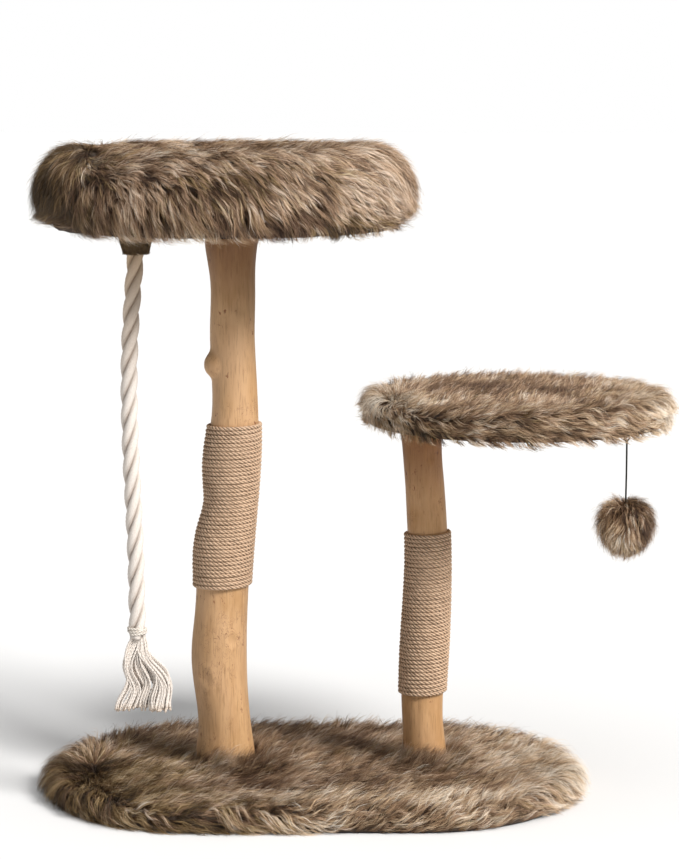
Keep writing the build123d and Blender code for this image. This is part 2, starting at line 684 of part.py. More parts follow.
with BuildPart() as pompom_elastic:
    with Locations(Location((POMPOM_X, POMPOM_Y, knot_z), (90, 0, 0))):
        Torus(KNOT_RING, LOOP_WIRE)
    with BuildSketch(Plane((POMPOM_X, POMPOM_Y, POMPOM_Z))):
        Circle(ELASTIC)
    extrude(amount=knot_z - KNOT_RING - POMPOM_Z)
    with Locations((POMPOM_X, POMPOM_Y, POMPOM_Z)):
        Sphere(CORE_KNOT)
pompom_elastic.part.label = "pompom_elastic"
export_step(pompom_elastic.part, "parts/pompom_elastic.step")

with BuildPart() as pompom_core:
    with Locations((POMPOM_X, POMPOM_Y, POMPOM_Z)):
        Sphere(POMPOM_CORE)
    add(pompom_elastic.part, mode=Mode.SUBTRACT)
pompom_core.part.label = "pompom_core"
export_step(pompom_core.part, "parts/pompom_core.step")

with BuildPart() as pompom_cover:
    with Locations((POMPOM_X, POMPOM_Y, POMPOM_Z)):
        Sphere(POMPOM_RADIUS)
        Sphere(POMPOM_CORE, mode=Mode.SUBTRACT)
    add(pompom_elastic.part, mode=Mode.SUBTRACT)
pompom_cover.part.label = "pompom_cover"
export_step(pompom_cover.part, "parts/pompom_cover.step")

print(f"rope pivot {ROPE_X}, {ROPE_Y}, {MOUTH_Z:.2f}")
print(f"eye wire {eye_wire_z:.2f}, loop's lower wire {loop_wire_z:.2f}, elastic's knot {knot_z:.2f}")
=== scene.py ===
"""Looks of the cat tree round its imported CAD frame: fur as real strands on padded skins, peeled
branches, wound jute, a laid cotton rope with its tassel, and the fittings inside. Metres, +Z up."""

import math

import bmesh
import bpy
import numpy as np
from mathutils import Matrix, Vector
from mathutils.bvhtree import BVHTree
from mathutils.kdtree import KDTree


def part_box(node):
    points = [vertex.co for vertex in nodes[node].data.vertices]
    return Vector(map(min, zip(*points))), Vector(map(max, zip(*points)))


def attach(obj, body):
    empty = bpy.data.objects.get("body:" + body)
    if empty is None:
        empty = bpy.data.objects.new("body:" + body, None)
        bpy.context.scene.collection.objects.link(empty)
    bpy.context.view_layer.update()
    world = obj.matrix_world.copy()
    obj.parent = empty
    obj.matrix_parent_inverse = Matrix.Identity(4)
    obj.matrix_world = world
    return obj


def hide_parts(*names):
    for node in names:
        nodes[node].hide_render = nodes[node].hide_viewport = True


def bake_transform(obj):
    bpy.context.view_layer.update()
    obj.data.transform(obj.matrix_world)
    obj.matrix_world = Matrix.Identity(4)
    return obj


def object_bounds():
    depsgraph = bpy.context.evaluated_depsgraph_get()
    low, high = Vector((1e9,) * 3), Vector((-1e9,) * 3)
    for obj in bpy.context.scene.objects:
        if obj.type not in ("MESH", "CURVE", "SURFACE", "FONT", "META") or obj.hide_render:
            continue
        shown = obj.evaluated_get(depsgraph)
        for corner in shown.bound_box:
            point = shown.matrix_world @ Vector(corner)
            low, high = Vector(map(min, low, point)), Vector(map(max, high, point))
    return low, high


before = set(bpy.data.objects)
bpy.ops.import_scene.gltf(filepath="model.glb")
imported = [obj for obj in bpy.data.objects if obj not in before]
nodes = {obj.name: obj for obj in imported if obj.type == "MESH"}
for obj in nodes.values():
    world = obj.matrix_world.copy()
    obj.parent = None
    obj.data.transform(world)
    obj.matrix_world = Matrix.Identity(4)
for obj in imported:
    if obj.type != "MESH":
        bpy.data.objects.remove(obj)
cad_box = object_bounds()
MM = 0.001
TAU = 2 * math.pi
UP = np.array([0.0, 0.0, 1.0])

# Places taken from the frame ---------------------------------------------------------------------


def centre_and_size(node):
    low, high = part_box(node)
    return (low + high) / 2, high - low


base_middle, base_size = centre_and_size("base_fur_cover")
bed_middle, bolster_size = centre_and_size("bed_bolster_cover")
shelf_middle, shelf_size = centre_and_size("platform_fur_cover")
ball_middle, _ = centre_and_size("pompom_cover")
BED_X, SHELF_X = bed_middle.x, shelf_middle.x
board_low, board_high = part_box("bed_board")
BED_UNDER, BED_TOP = board_low.z, board_high.z
BED_RADIUS = (board_high.x - board_low.x) / 2
BOLSTER_TUBE = 46 * MM  # radius of its section
BOLSTER_RING = bolster_size.x / 2 - BOLSTER_TUBE
BOLSTER_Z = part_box("bed_bolster_cover")[1].z - BOLSTER_TUBE

# Camera and light --------------------------------------------------------------------------------

LENS = 104.8
CAMERA_PLACE = (0.0337, -3.2, 0.95)
CAMERA_PITCH = 8.4


def new_object(name, data):
    made = bpy.data.objects.new(name, data)
    bpy.context.scene.collection.objects.link(made)
    return made


camera = new_object("camera", bpy.data.cameras.new("camera"))
camera.data.lens = LENS
camera.location = CAMERA_PLACE
camera.rotation_euler = (math.radians(90 - CAMERA_PITCH), 0, 0)
bpy.context.scene.camera = camera
bpy.context.scene.view_settings.view_transform = "Standard"


def soft_sun(name, azimuth, height, angle, strength, colour=(1, 1, 1)):
    """Even light from a direction in degrees: azimuth 0 comes from the front and 90 from the right,
    height is above the floor, and a wide angle softens the shadows."""
    light = bpy.data.lights.new(name, "SUN")
    light.angle, light.energy, light.color = math.radians(angle), strength, colour
    new_object(name, light).rotation_euler = (math.radians(90 - height), 0, math.radians(azimuth))


soft_sun("key", azimuth=52, height=40, angle=20, strength=4.1, colour=(1, 0.985, 0.965))
soft_sun("top", azimuth=0, height=75, angle=60, strength=1.05)

SKY_LIGHT = 0.19  # its light on the object; the camera sees it pure white
world = bpy.data.worlds.new("world")
bpy.context.scene.world = world
world.use_nodes = True
sky = world.node_tree
seen = sky.nodes.new("ShaderNodeLightPath").outputs["Is Camera Ray"]
glow = sky.nodes.new("ShaderNodeMapRange")
sky.links.new(seen, glow.inputs["Value"])
glow.inputs["To Min"].default_value = SKY_LIGHT
glow.inputs["To Max"].default_value = 1.0
sky.links.new(glow.outputs["Result"], sky.nodes["Background"].inputs["Strength"])
sky.nodes["Background"].inputs["Color"].default_value = (1, 1, 1, 1)

# Random values and noise -------------------------------------------------------------------------


def noise(points, size, seed=0):
    """Smooth values from -1 to 1 at points, with bumps about as large as size."""
    place = points / size + seed * 17.31 + 1000
    cell = np.floor(place).astype(np.int64)
    part = place - cell
    part = part * part * (3 - 2 * part)
    total = np.zeros(len(points))
    for corner in range(8):
        step = np.array([corner & 1, corner >> 1 & 1, corner >> 2 & 1])
        key = (cell + step) @ np.array([73856093, 19349663, 83492791])
        key = (key ^ (key >> 13)) * 1274126177 & 0x7FFFFFFF
        key = (key ^ (key >> 15)) * 668265263 & 0x7FFFFFFF
        weight = np.where(step, part, 1 - part).prod(1)
        total += weight * ((key >> 7 & 0xFFFF) / 32767.5 - 1)
    return total


def rough_noise(points, size, seed=0):
    return noise(points, size, seed) * 0.65 + noise(points, size / 2.3, seed + 5) * 0.35


def unit(vectors):
    return vectors / np.maximum(np.linalg.norm(vectors, axis=-1, keepdims=True), 1e-12)


def smooth(low, high, value):
    share = np.clip((value - low) / (high - low), 0, 1)
    return share * share * (3 - 2 * share)


# Materials ---------------------------------------------------------------------------------------


class Finish:
    """A material with one Principled shader, and short ways to add nodes to it."""

    def __init__(self, name, colour=(0.8, 0.8, 0.8), roughness=0.7, **sockets):
        self.material = bpy.data.materials.new(name)
        self.material.use_nodes = True
        self.tree = self.material.node_tree
        self.shader = self.tree.nodes["Principled BSDF"]
        self.shader.inputs["Base Color"].default_value = (*colour, 1)
        self.shader.inputs["Roughness"].default_value = roughness
        for socket, value in sockets.items():
            self.shader.inputs[socket.replace("_", " ")].default_value = value

    def add(self, kind, inputs=(), **settings):
        node = self.tree.nodes.new("ShaderNode" + kind)
        for key, value in settings.items():
            setattr(node, key, value)
        for key, value in dict(inputs).items():
            self.put(value, node.inputs[key])
        return node

    def put(self, value, socket):
        if isinstance(value, bpy.types.NodeSocket):
            self.tree.links.new(value, socket)
        else:
            socket.default_value = value

    def place(self, stretch=(1, 1, 1)):
        """Object coordinates, in units that make the pattern longer where stretch is larger."""
        source = self.add("TexCoord").outputs["Object"]
        scale = tuple(1 / s for s in stretch)
        return self.add("Mapping", {"Vector": source, "Scale": scale}).outputs["Vector"]

    def cloud(self, scale, detail=4, stretch=(1, 1, 1), rough=0.55, warp=0):
        return self.add(
            "TexNoise",
            {
                "Vector": self.place(stretch),
                "Scale": scale,
                "Detail": detail,
                "Roughness": rough,
                "Distortion": warp,
            },
        ).outputs["Fac"]

    def bands(self, direction, scale, warp):
        inputs = {"Vector": self.place(), "Scale": scale, "Distortion": warp}
        return self.add("TexWave", inputs, bands_direction=direction).outputs["Fac"]

    def ramp(self, value, *stops):
        """Colours, or greys given as one number, at positions from 0 to 1."""
        node = self.add("ValToRGB", {"Fac": value})
        steps = node.color_ramp.elements
        while len(steps) < len(stops):
            steps.new(0.5)
        for step, (position, colour) in zip(steps, stops):
            step.position = position
            step.color = (*colour, 1) if isinstance(colour, tuple) else (colour,) * 3 + (1,)
        return node.outputs["Color"]

    def mix(self, share, first, second, mode="MIX"):
        node = self.add("Mix", data_type="RGBA", blend_type=mode)
        self.put(share, node.inputs[0])
        for value, index in ((first, 6), (second, 7)):
            self.put((*value, 1) if isinstance(value, tuple) else value, node.inputs[index])
        return node.outputs[2]

    def math(self, operation, first, second=0.0):
        node = self.add("Math", operation=operation)
        self.put(first, node.inputs[0])
        self.put(second, node.inputs[1])
        return node.outputs[0]

    def colour(self, value):
        self.put(value, self.shader.inputs["Base Color"])

    def roughness(self, value, low, high):
        node = self.add("MapRange", {"Value": value, "To Min": low, "To Max": high})
        self.put(node.outputs["Result"], self.shader.inputs["Roughness"])

    def bump(self, height, strength, distance):
        node = self.add("Bump", {"Height": height, "Strength": strength, "Distance": distance})
        self.put(node.outputs["Normal"], self.shader.inputs["Normal"])


TONES = 64  # columns of the strand colours
FAMILY = 21  # how many of them each colour family takes
TAUPE, OLIVE, CREAM = 0, 1, 2
FAMILY_COLOURS = (  # from the darkest to the palest
    ((0.062, 0.033, 0.021), (0.2, 0.112, 0.066), (0.425, 0.268, 0.158), (0.7, 0.5, 0.345), (0.95, 0.8, 0.65)),
    ((0.045, 0.026, 0.01), (0.145, 0.086, 0.034), (0.315, 0.202, 0.09), (0.53, 0.37, 0.195),
     (0.81, 0.655, 0.44)),
    ((0.105, 0.058, 0.031), (0.335, 0.2, 0.11), (0.61, 0.42, 0.25), (0.83, 0.655, 0.465), (0.98, 0.9, 0.78)),
)


def strand_finish(name, root, tip, roughness=0.62):
    """Strand colour: across the UV map the tone, and up it the way from root to tip, darker at the root:
    partly the fur's own dark roots and partly painted shade deep in the pile.
    """
    finish = Finish(name, roughness=roughness)
    finish.shader.inputs["Specular IOR Level"].default_value = 0.3
    parts = finish.add("SeparateXYZ", {"Vector": finish.add("UVMap", uv_map="OFBake").outputs["UV"]})
    stops = []
    for family, colours in enumerate(FAMILY_COLOURS):
        for step, colour in enumerate(colours):
            stops.append(((family * FAMILY + 0.5 + step * (FAMILY - 1) / (len(colours) - 1)) / TONES, colour))
    tone = finish.ramp(parts.outputs["X"], *stops)
    # darker towards the root: partly the fur's own colour, partly painted shade deep in the pile
    shade = finish.ramp(parts.outputs["Y"], (0.0, root), (0.38, 0.7), (0.72, 1.0), (1.0, tip))
    finish.colour(finish.mix(1.0, tone, shade, "MULTIPLY"))
    return finish.material


# the root colours are partly painted shade deep in the pile
fur_strand = strand_finish("fur_strand", (0.24, 0.14, 0.065), 1.0)
plush_strand = strand_finish("plush_strand", 0.55, 1.0, 0.75)

fur_skin = Finish("fur_undercoat", roughness=0.95)
fur_skin.colour(
    fur_skin.ramp(
        fur_skin.cloud(160, 6, rough=0.7),
        (0.3, (0.022, 0.014, 0.009)),
        (0.55, (0.07, 0.047, 0.032)),
        (0.8, (0.16, 0.11, 0.075)),
    )
)
fur_skin.bump(fur_skin.cloud(900, 3), 0.6, 0.0015)
fur_skin = fur_skin.material


def wood_finish(name, pale, deep, seed, painted_shade_heights):
    """Peeled and sanded branch: soft upright grain, broad pinkish patches, small chips and thin cracks.
    The last argument gives (height in metres, share of the darker tint) towards its top: painted shade where
    the board above shadows the post."""
    finish = Finish(name)
    middle = tuple((a + b) / 2 for a, b in zip(pale, deep))
    grain = finish.cloud(70, 6, stretch=(1, 1, 7), rough=0.62, warp=0.5)
    fine = finish.cloud(520, 4, stretch=(1, 1, 13))
    patch = finish.cloud(13 + seed, 4, stretch=(1, 1, 1.8), warp=0.4)
    body = finish.ramp(grain, (0.25, deep), (0.47, middle), (0.62, pale))
    pink = (min(pale[0] * 1.1, 1), pale[1] * 1.13, pale[2] * 1.3)
    body = finish.mix(finish.ramp(patch, (0.42, 0.0), (0.66, 0.75)), body, pink)
    body = finish.mix(finish.ramp(fine, (0.30, 0.5), (0.47, 0.0)), body, tuple(c * 0.62 for c in deep))
    chips = finish.cloud(150, 3, stretch=(1, 1, 2.0), rough=0.7)
    sparse = finish.ramp(finish.cloud(24, 2), (0.5, 0.0), (0.62, 1.0))
    chip = finish.math("MULTIPLY", finish.ramp(chips, (0.62, 0.0), (0.67, 1.0)), sparse)
    body = finish.mix(chip, body, (0.22, 0.075, 0.025))
    split = finish.cloud(34, 4, stretch=(1, 1, 1.5), rough=0.75, warp=1.6)
    where = finish.ramp(finish.cloud(15, 2), (0.56, 0.0), (0.62, 1.0))
    crack = finish.math("MULTIPLY", finish.ramp(split, (0.494, 0.0), (0.5, 1.0), (0.506, 0.0)), where)
    body = finish.mix(crack, body, (0.19, 0.06, 0.02))
    # painted shade: the wood darkens towards its top, under the bed or the shelf
    height = finish.add("SeparateXYZ", {"Vector": finish.place()}).outputs["Z"]
    painted_shade = finish.ramp(height, *painted_shade_heights)
    body = finish.mix(painted_shade, body, finish.mix(1.0, body, (0.40, 0.27, 0.14), "MULTIPLY"))
    finish.colour(body)
    finish.roughness(grain, 0.5, 0.68)
    depth = finish.math("SUBTRACT", finish.math("ADD", finish.math("MULTIPLY", fine, 0.3), grain), chip)
    finish.bump(finish.math("SUBTRACT", depth, crack), 0.45, 0.0013)
    return finish.material


# each post's last tuple paints the shade of the bed, or of the shelf, over its top
tall_wood = wood_finish(
    "tall_branch", (0.56, 0.335, 0.16), (0.40, 0.21, 0.078), 0, ((0.63, 0.0), (0.69, 0.7), (0.735, 1.0))
)
short_wood = wood_finish(
    "short_branch", (0.53, 0.305, 0.138), (0.38, 0.195, 0.068), 3, ((0.39, 0.0), (0.44, 0.7), (0.48, 1.0))
)


def yarn_finish(name, dark, pale, scale, groove_shade, roughness=0.85, tint=None, tinted=()):
    """Twisted fibre: the attribute "ridge" is 1 on the outside of each strand and 0 deep in the lay, where
    painted shade darkens it.
    tinted gives (height in metres, share of the tint) where the fibre is browner: painted shade of the bed
    over the rope's top, and a browner tassel end."""
    finish = Finish(name)
    fine = finish.cloud(scale, 5, rough=0.65)
    broad = finish.cloud(scale / 14, 3)
    between = tuple((a + 2 * b) / 3 for a, b in zip(dark, pale))
    body = finish.ramp(fine, (0.28, dark), (0.55, between), (0.78, pale))
    body = finish.mix(finish.ramp(broad, (0.35, 0.0), (0.65, 0.4)), body, tuple(c * 0.78 for c in pale))
    if tint:
        # by height: painted shade of the bed over the rope's top, and a browner tassel end
        height = finish.add("SeparateXYZ", {"Vector": finish.place()}).outputs["Z"]
        body = finish.mix(finish.ramp(height, *tinted), body, tint)
    ridge = finish.add("Attribute", attribute_name="ridge").outputs["Fac"]
    # painted shade: the colour darkens deep in the lay, between the strands
    shade = finish.ramp(ridge, (0.1, groove_shade), (0.85, (1.0, 1.0, 1.0)))
    finish.colour(finish.mix(1.0, body, shade, "MULTIPLY"))
    finish.roughness(fine, roughness - 0.05, roughness + 0.1)
    finish.bump(fine, 0.5, 0.0006)
    return finish.material


# the colour after the scale is painted shade deep in each rope's grooves
jute = yarn_finish("jute", (0.25, 0.14, 0.07), (0.86, 0.62, 0.43), 900, (0.09, 0.045, 0.02))
# the cotton's tint is painted shade of the bed over the rope's top; low down it browns the tassel's end
cotton = yarn_finish(
    "cotton", (0.58, 0.50, 0.43), (0.86, 0.80, 0.745), 700, (0.55, 0.50, 0.46), tint=(0.56, 0.39, 0.235),
    tinted=((0.128, 0.6), (0.145, 0.0), (0.55, 0.0), (0.66, 0.5), (0.71, 0.85)),
)
twine = yarn_finish("twine", (0.56, 0.49, 0.41), (0.88, 0.83, 0.77), 900, (0.5, 0.45, 0.4))


def simple_finish(name, dark, pale, scale, rough=(0.4, 0.6), stretch=(1, 1, 1), bump=0.3, depth=0.0004,
                  **sockets):
    """A fine fleck between two colours, which also gives the roughness and the bump."""
    finish = Finish(name, **sockets)
    fine = finish.cloud(scale, 4, stretch=stretch)
    finish.colour(finish.ramp(fine, (0.3, dark), (0.72, pale)))
    finish.roughness(fine, *rough)
    finish.bump(fine, bump, depth)
    return finish.material


steel = simple_finish(
    "zinc_steel", (0.42, 0.43, 0.45), (0.66, 0.67, 0.69), 700, (0.22, 0.42), (1, 1, 3), Metallic=1.0
)
insert_metal = simple_finish(
    "insert_metal", (0.45, 0.36, 0.2), (0.68, 0.57, 0.36), 600, (0.3, 0.5), Metallic=1.0
)
foam_finish = simple_finish("foam", (0.66, 0.62, 0.48), (0.84, 0.81, 0.68), 1500, (0.9, 1.0), bump=0.8)
stuffing = simple_finish(
    "stuffing", (0.72, 0.7, 0.66), (0.92, 0.91, 0.88), 240, (0.9, 1.0), bump=0.9, depth=0.003
)
elastic_finish = simple_finish(
    "black_elastic", (0.006, 0.006, 0.006), (0.02, 0.02, 0.02), 1600, (0.6, 0.85), (1, 1, 0.4),
    Specular_IOR_Level=0.15,
)
band_finish = simple_finish("elastic_band", (0.55, 0.53, 0.5), (0.82, 0.8, 0.77), 1400, (0.7, 0.9))
cloth_finish = simple_finish(
    "underside_cloth", (0.012, 0.011, 0.011), (0.045, 0.042, 0.04), 1800, (0.85, 1.0), bump=0.7
)
boot_finish = simple_finish(
    "boot_cloth", (0.03, 0.018, 0.01), (0.085, 0.055, 0.034), 700, (0.8, 1.0), (1, 1, 3), bump=0.7
)
zip_finish = simple_finish("zip", (0.2, 0.15, 0.11), (0.4, 0.32, 0.25), 1500, (0.4, 0.6))

plywood = Finish("plywood")
veneer = plywood.cloud(30, 5, stretch=(9, 1, 1), warp=0.4)
plies = plywood.bands("Z", 95.0, 0.4)
plywood.colour(
    plywood.mix(
        plywood.ramp(plies, (0.35, 0.0), (0.6, 0.35)),
        plywood.ramp(veneer, (0.3, (0.47, 0.33, 0.19)), (0.7, (0.72, 0.57, 0.38))),
        (0.4, 0.26, 0.14),
    )
)
plywood.roughness(veneer, 0.6, 0.8)
plywood.bump(veneer, 0.3, 0.0005)
plywood = plywood.material

nonslip = Finish("nonslip")
ribs = nonslip.bands("X", 120.0, 0.0)
nonslip.colour(nonslip.ramp(nonslip.cloud(300, 3), (0.3, (0.02, 0.02, 0.021)), (0.7, (0.045, 0.045, 0.047))))
nonslip.roughness(ribs, 0.6, 0.8)
nonslip.bump(ribs, 0.7, 0.001)
nonslip = nonslip.material

plush_skin = Finish("plush_cloth")
weave = plush_skin.cloud(700, 5, rough=0.7)
plush_skin.colour(
    plush_skin.mix(
        plush_skin.ramp(plush_skin.cloud(22, 3), (0.35, 0.0), (0.65, 0.5)),
        plush_skin.ramp(weave, (0.3, (0.26, 0.19, 0.14)), (0.72, (0.56, 0.455, 0.36))),
        (0.36, 0.275, 0.21),
    )
)
plush_skin.roughness(weave, 0.85, 1.0)
plush_skin.bump(weave, 0.7, 0.0012)
plush_skin = plush_skin.material

floor_finish = Finish("floor", (0.78, 0.78, 0.78), 0.55)
floor_finish.shader.inputs["Specular IOR Level"].default_value = 0.0

FINISHES = {
    plywood: ("base_board", "bed_board", "platform_board"),
    nonslip: ("base_backing",),
    steel: (
        "base_staples base_bolts base_washers bed_bolts bed_washers bed_staples "
        "platform_bolts platform_washers pompom_eye"
    ).split(),
    insert_metal: ("tall_post_inserts", "short_post_inserts"),
}
for finish, names in FINISHES.items():
    for name in names:
        for used in nodes[name].material_slots:
            used.material = finish

# Meshes ------------------------------------------------------------------------------------------


def mesh_piece(name, points, faces, finish, body, slot, replaces=(), columns=None, rows=None, ridge=None):
    """A smooth piece from points and faces (one array of equal faces, or a list of such arrays). columns
    and rows are its UV map, and ridge is how far each point lies outside the lay of a rope."""
    groups = faces if isinstance(faces, list) else [faces]
    mesh = bpy.data.meshes.new(name)
    mesh.vertices.add(len(points))
    mesh.vertices.foreach_set("co", np.asarray(points, np.float32).ravel())
    corners = np.concatenate([g.ravel() for g in groups]).astype(np.int32)
    sizes = np.concatenate([np.full(len(g), g.shape[1], np.int32) for g in groups])
    mesh.loops.add(len(corners))
    mesh.loops.foreach_set("vertex_index", corners)
    mesh.polygons.add(len(sizes))
    mesh.polygons.foreach_set("loop_start", np.concatenate([[0], sizes.cumsum()[:-1]]).astype(np.int32))
    mesh.update(calc_edges=True)
    mesh.polygons.foreach_set("use_smooth", np.full(len(sizes), True))
    if columns is not None:
        layer = mesh.uv_layers.new(name="OFBake")
        layer.data.foreach_set("uv", np.stack([columns, rows], 1)[corners].astype(np.float32).ravel())
    if ridge is not None:
        mesh.attributes.new("ridge", "FLOAT", "POINT").data.foreach_set("value", ridge.astype(np.float32))
    mesh.materials.append(finish)
    return dress(new_object(name, mesh), body, slot, replaces)


def dress(piece, body, slot, replaces=()):
    """The body a piece rides on and the CAD nodes that it stands for; the slot of its finish is not used."""
    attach(piece, body)
    if replaces:
        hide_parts(*([replaces] if isinstance(replaces, str) else replaces))
    return piece


def grid_faces(rows, columns, close_rows=False, close_columns=True):
    """Quads of a grid of points stored row by row."""
    row_steps = np.arange(rows if close_rows else rows - 1)
    column_steps = np.arange(columns if close_columns else columns - 1)
    i, j = (steps.ravel() for steps in np.meshgrid(row_steps, column_steps, indexing="ij"))
    down, right = (i + 1) % rows, (j + 1) % columns
    return np.stack([i * columns + j, i * columns + right, down * columns + right, down * columns + j], 1)


def join(parts):
    """Points and faces of several meshes as one."""
    points, faces, count = [], [], 0
    for these, quads in parts:
        points.append(these)
        faces.append(quads + count)
        count += len(these)
    return np.concatenate(points), np.concatenate(faces)


def frames_along(path, start_side=(0, 1, 0)):
    """Tangents and two steady side directions along a path."""
    ahead = unit(np.gradient(path, axis=0))
    side = np.empty_like(ahead)
    current = np.array(start_side, float)
    for i, direction in enumerate(ahead):
        current = current - direction * (current @ direction)
        current /= np.linalg.norm(current)
        side[i] = current
    return ahead, side, np.cross(ahead, side)


TIP = 0.02  # the end rings of a tube, as a share of its radius there and of its last step


def tube(path, radius, sides, start_side=(0, 1, 0), lobes=0, depth=0.0, turns=0.0):
    """A tube round a path, closed by small rings just past its ends; lobes make a cross-section of
    yarns, which twist by turns."""
    radius = np.broadcast_to(radius, len(path)).astype(float)
    radius = np.concatenate([radius[:1] * TIP, radius, radius[-1:] * TIP])
    before = path[:1] - (path[1:2] - path[:1]) * TIP
    beyond = path[-1:] + (path[-1:] - path[-2:-1]) * TIP
    path = np.concatenate([before, path, beyond])
    _, first, second = frames_along(path, start_side)
    angle = np.arange(sides) * TAU / sides
    along = np.linspace(0, 1, len(path))
    wave = 1 + depth * np.cos(lobes * (angle[None, :] + TAU * turns * along[:, None]))
    ring = wave * radius[:, None]
    points = path[:, None] + ring[..., None] * (
        np.cos(angle)[None, :, None] * first[:, None] + np.sin(angle)[None, :, None] * second[:, None]
    )
    return points.reshape(-1, 3), grid_faces(len(path), sides)


def ply_paths(path, count, offset, lay, steps_per_lay, start_side=(0, 1, 0)):
    """The centrelines of the strands laid round a path, one turn for each lay length."""
    length = np.linalg.norm(np.diff(path, axis=0), axis=1)
    reach = np.concatenate([[0], length.cumsum()])
    steps = max(int(reach[-1] / lay * steps_per_lay), 8)
    at = np.linspace(0, reach[-1], steps)
    line = np.stack([np.interp(at, reach, path[:, k]) for k in range(3)], 1)
    _, first, second = frames_along(line, start_side)
    for number in range(count):
        angle = TAU * at / lay + TAU * number / count
        yield line + offset * (np.cos(angle)[:, None] * first + np.sin(angle)[:, None] * second), at


def stadium_rings(profile, centre, straight, around):
    """Points of profile (distance from the middle line, height) carried round a stadium or circle."""
    arc = math.pi * profile[:, 0].max()
    along = round(around / 2 * 2 * straight / (arc + 2 * straight))
    bend = around // 2 - along
    turn = np.arange(bend) / bend * math.pi - math.pi / 2
    slide = straight - 2 * straight * np.arange(along) / max(along, 1)
    angle = np.concatenate([turn, np.full(along, math.pi / 2), turn + math.pi, np.full(along, -math.pi / 2)])
    middle = np.concatenate([np.full(bend, straight), slide, np.full(bend, -straight), -slide])
    x = centre + middle[None, :] + profile[:, :1] * np.cos(angle)[None, :]
    y = profile[:, :1] * np.sin(angle)[None, :]
    z = np.broadcast_to(profile[:, 1:], x.shape)
    return np.stack([x, y, z], -1).reshape(-1, 3)


def outline(*corners, step=4 * MM):
    """A profile through corners with points every step."""
    points = []
    for a, b in zip(corners, corners[1:]):
        a, b = np.array(a), np.array(b)
        count = max(int(np.linalg.norm(b - a) / step), 1)
        points += [a + (b - a) * k / count for k in range(count)]
    return np.array(points + [np.array(corners[-1])])


def arc_corners(centre, radius, start, end, count=8):
    """Points of an arc between two angles in degrees."""
    angles = np.radians(np.linspace(start, end, count))
    return [(centre[0] + radius * math.cos(a), centre[1] + radius * math.sin(a)) for a in angles]


def tidy_mesh(piece):
    """Welds points that coincide, drops faces without area and turns the faces outwards."""
    work = bmesh.new()
    work.from_mesh(piece.data)
    bmesh.ops.remove_doubles(work, verts=work.verts, dist=0.00002)
    bmesh.ops.dissolve_degenerate(work, edges=work.edges, dist=0.00001)
    bmesh.ops.recalc_face_normals(work, faces=work.faces)
    work.to_mesh(piece.data)
    work.free()
    return piece


def coordinates(mesh, kind="co"):
    """The places of a mesh's points, or their normals."""
    values = np.empty(len(mesh.vertices) * 3, np.float32)
    mesh.vertices.foreach_get(kind, values)
    return values.reshape(-1, 3).astype(float)


def place_points(piece, co):
    piece.data.vertices.foreach_set("co", co.astype(np.float32).ravel())
    piece.data.update()


def push(piece, amount):
    """Moves each point of a mesh along its normal by amount(points, normals)."""
    co, normal = coordinates(piece.data), coordinates(piece.data, "normal")
    co += normal * np.asarray(amount(co, normal))[:, None]
    place_points(piece, co)


def shade_smooth(piece):
    piece.data.polygons.foreach_set("use_smooth", np.ones(len(piece.data.polygons), bool))


def surface_tree(mesh):
    return BVHTree.FromPolygons([v.co for v in mesh.vertices], [p.vertices for p in mesh.polygons])


def apply_modifiers(piece):
    evaluated = piece.evaluated_get(bpy.context.evaluated_depsgraph_get())
    mesh = bpy.data.meshes.new_from_object(evaluated)
    piece.modifiers.clear()
    piece.data = mesh


def remeshed(name, node, voxel, finish, body, slot, amount=None):
    """A fine mesh with the shape of a CAD node, which it replaces."""
    piece = new_object(name, nodes[node].data.copy())
    modifier = piece.modifiers.new("remesh", "REMESH")
    modifier.mode, modifier.voxel_size, modifier.use_smooth_shade = "VOXEL", voxel, True
    apply_modifiers(piece)
    piece.data.materials.clear()
    piece.data.materials.append(finish)
    if amount:
        push(piece, amount)
    return dress(piece, body, slot, node)


def soften(piece, centre, reach, times):
    """Rounds off the part of a mesh near a place."""
    co = coordinates(piece.data)
    near = 1 - smooth(reach * 0.6, reach, np.linalg.norm(co - np.array(centre), axis=1))
    ends = np.empty(len(piece.data.edges) * 2, np.int32)
    piece.data.edges.foreach_get("vertices", ends)
    ends = ends.reshape(-1, 2)
    ends = ends[(near[ends] > 0).any(1)]
    ends = np.concatenate([ends, ends[:, ::-1]])
    count = np.maximum(np.bincount(ends[:, 0], minlength=len(co)), 1)[:, None]
    for _ in range(times):
        total = np.stack([np.bincount(ends[:, 0], co[ends[:, 1], k], len(co)) for k in range(3)], 1)
        co += (total / count - co) * 0.5 * near[:, None]
    place_points(piece, co)


def ridge_of(points, path, low, high):
    """How far points lie outside the lay of a rope with this path: 0 at distance low, 1 at high."""
    tree = KDTree(len(path))
    for number, place in enumerate(path):
        tree.insert(place, number)
    tree.balance()
    return np.clip((np.array([tree.find(p)[2] for p in points]) - low) / (high - low), 0, 1)


# Cords: the rope with its whipping and tassel, and the pom-pom's elastic --------------------------

ROPE_ROUTE = [
    (-0.218, -0.110, 0.7147),
    (-0.2235, -0.110, 0.6587),
    (-0.229, -0.109, 0.570),
    (-0.228, -0.111, 0.470),
    (-0.224, -0.110, 0.376),
    (-0.222, -0.110, 0.298),
    (-0.222, -0.110, 0.228),
]
ROPE_RADIUS = 10 * MM
ROPE_PIVOT = ROPE_ROUTE[0]


def nurbs(route):
    curve = bpy.data.curves.new("line", "CURVE")
    curve.dimensions = "3D"
    curve.resolution_u = 24
    spline = curve.splines.new("NURBS")
    spline.points.add(len(route) - 1)
    for point, place in zip(spline.points, route):
        point.co = (*place, 1)
    spline.order_u = 3
    spline.use_endpoint_u = True
    return curve


def line_points(route):
    """Points along the route's smooth line."""
    carrier = new_object("line", nurbs(route))
    bpy.context.view_layer.update()
    mesh = bpy.data.meshes.new_from_object(carrier)
    points = coordinates(mesh)
    bpy.data.objects.remove(carrier)
    return points


rope_line = line_points(ROPE_ROUTE)

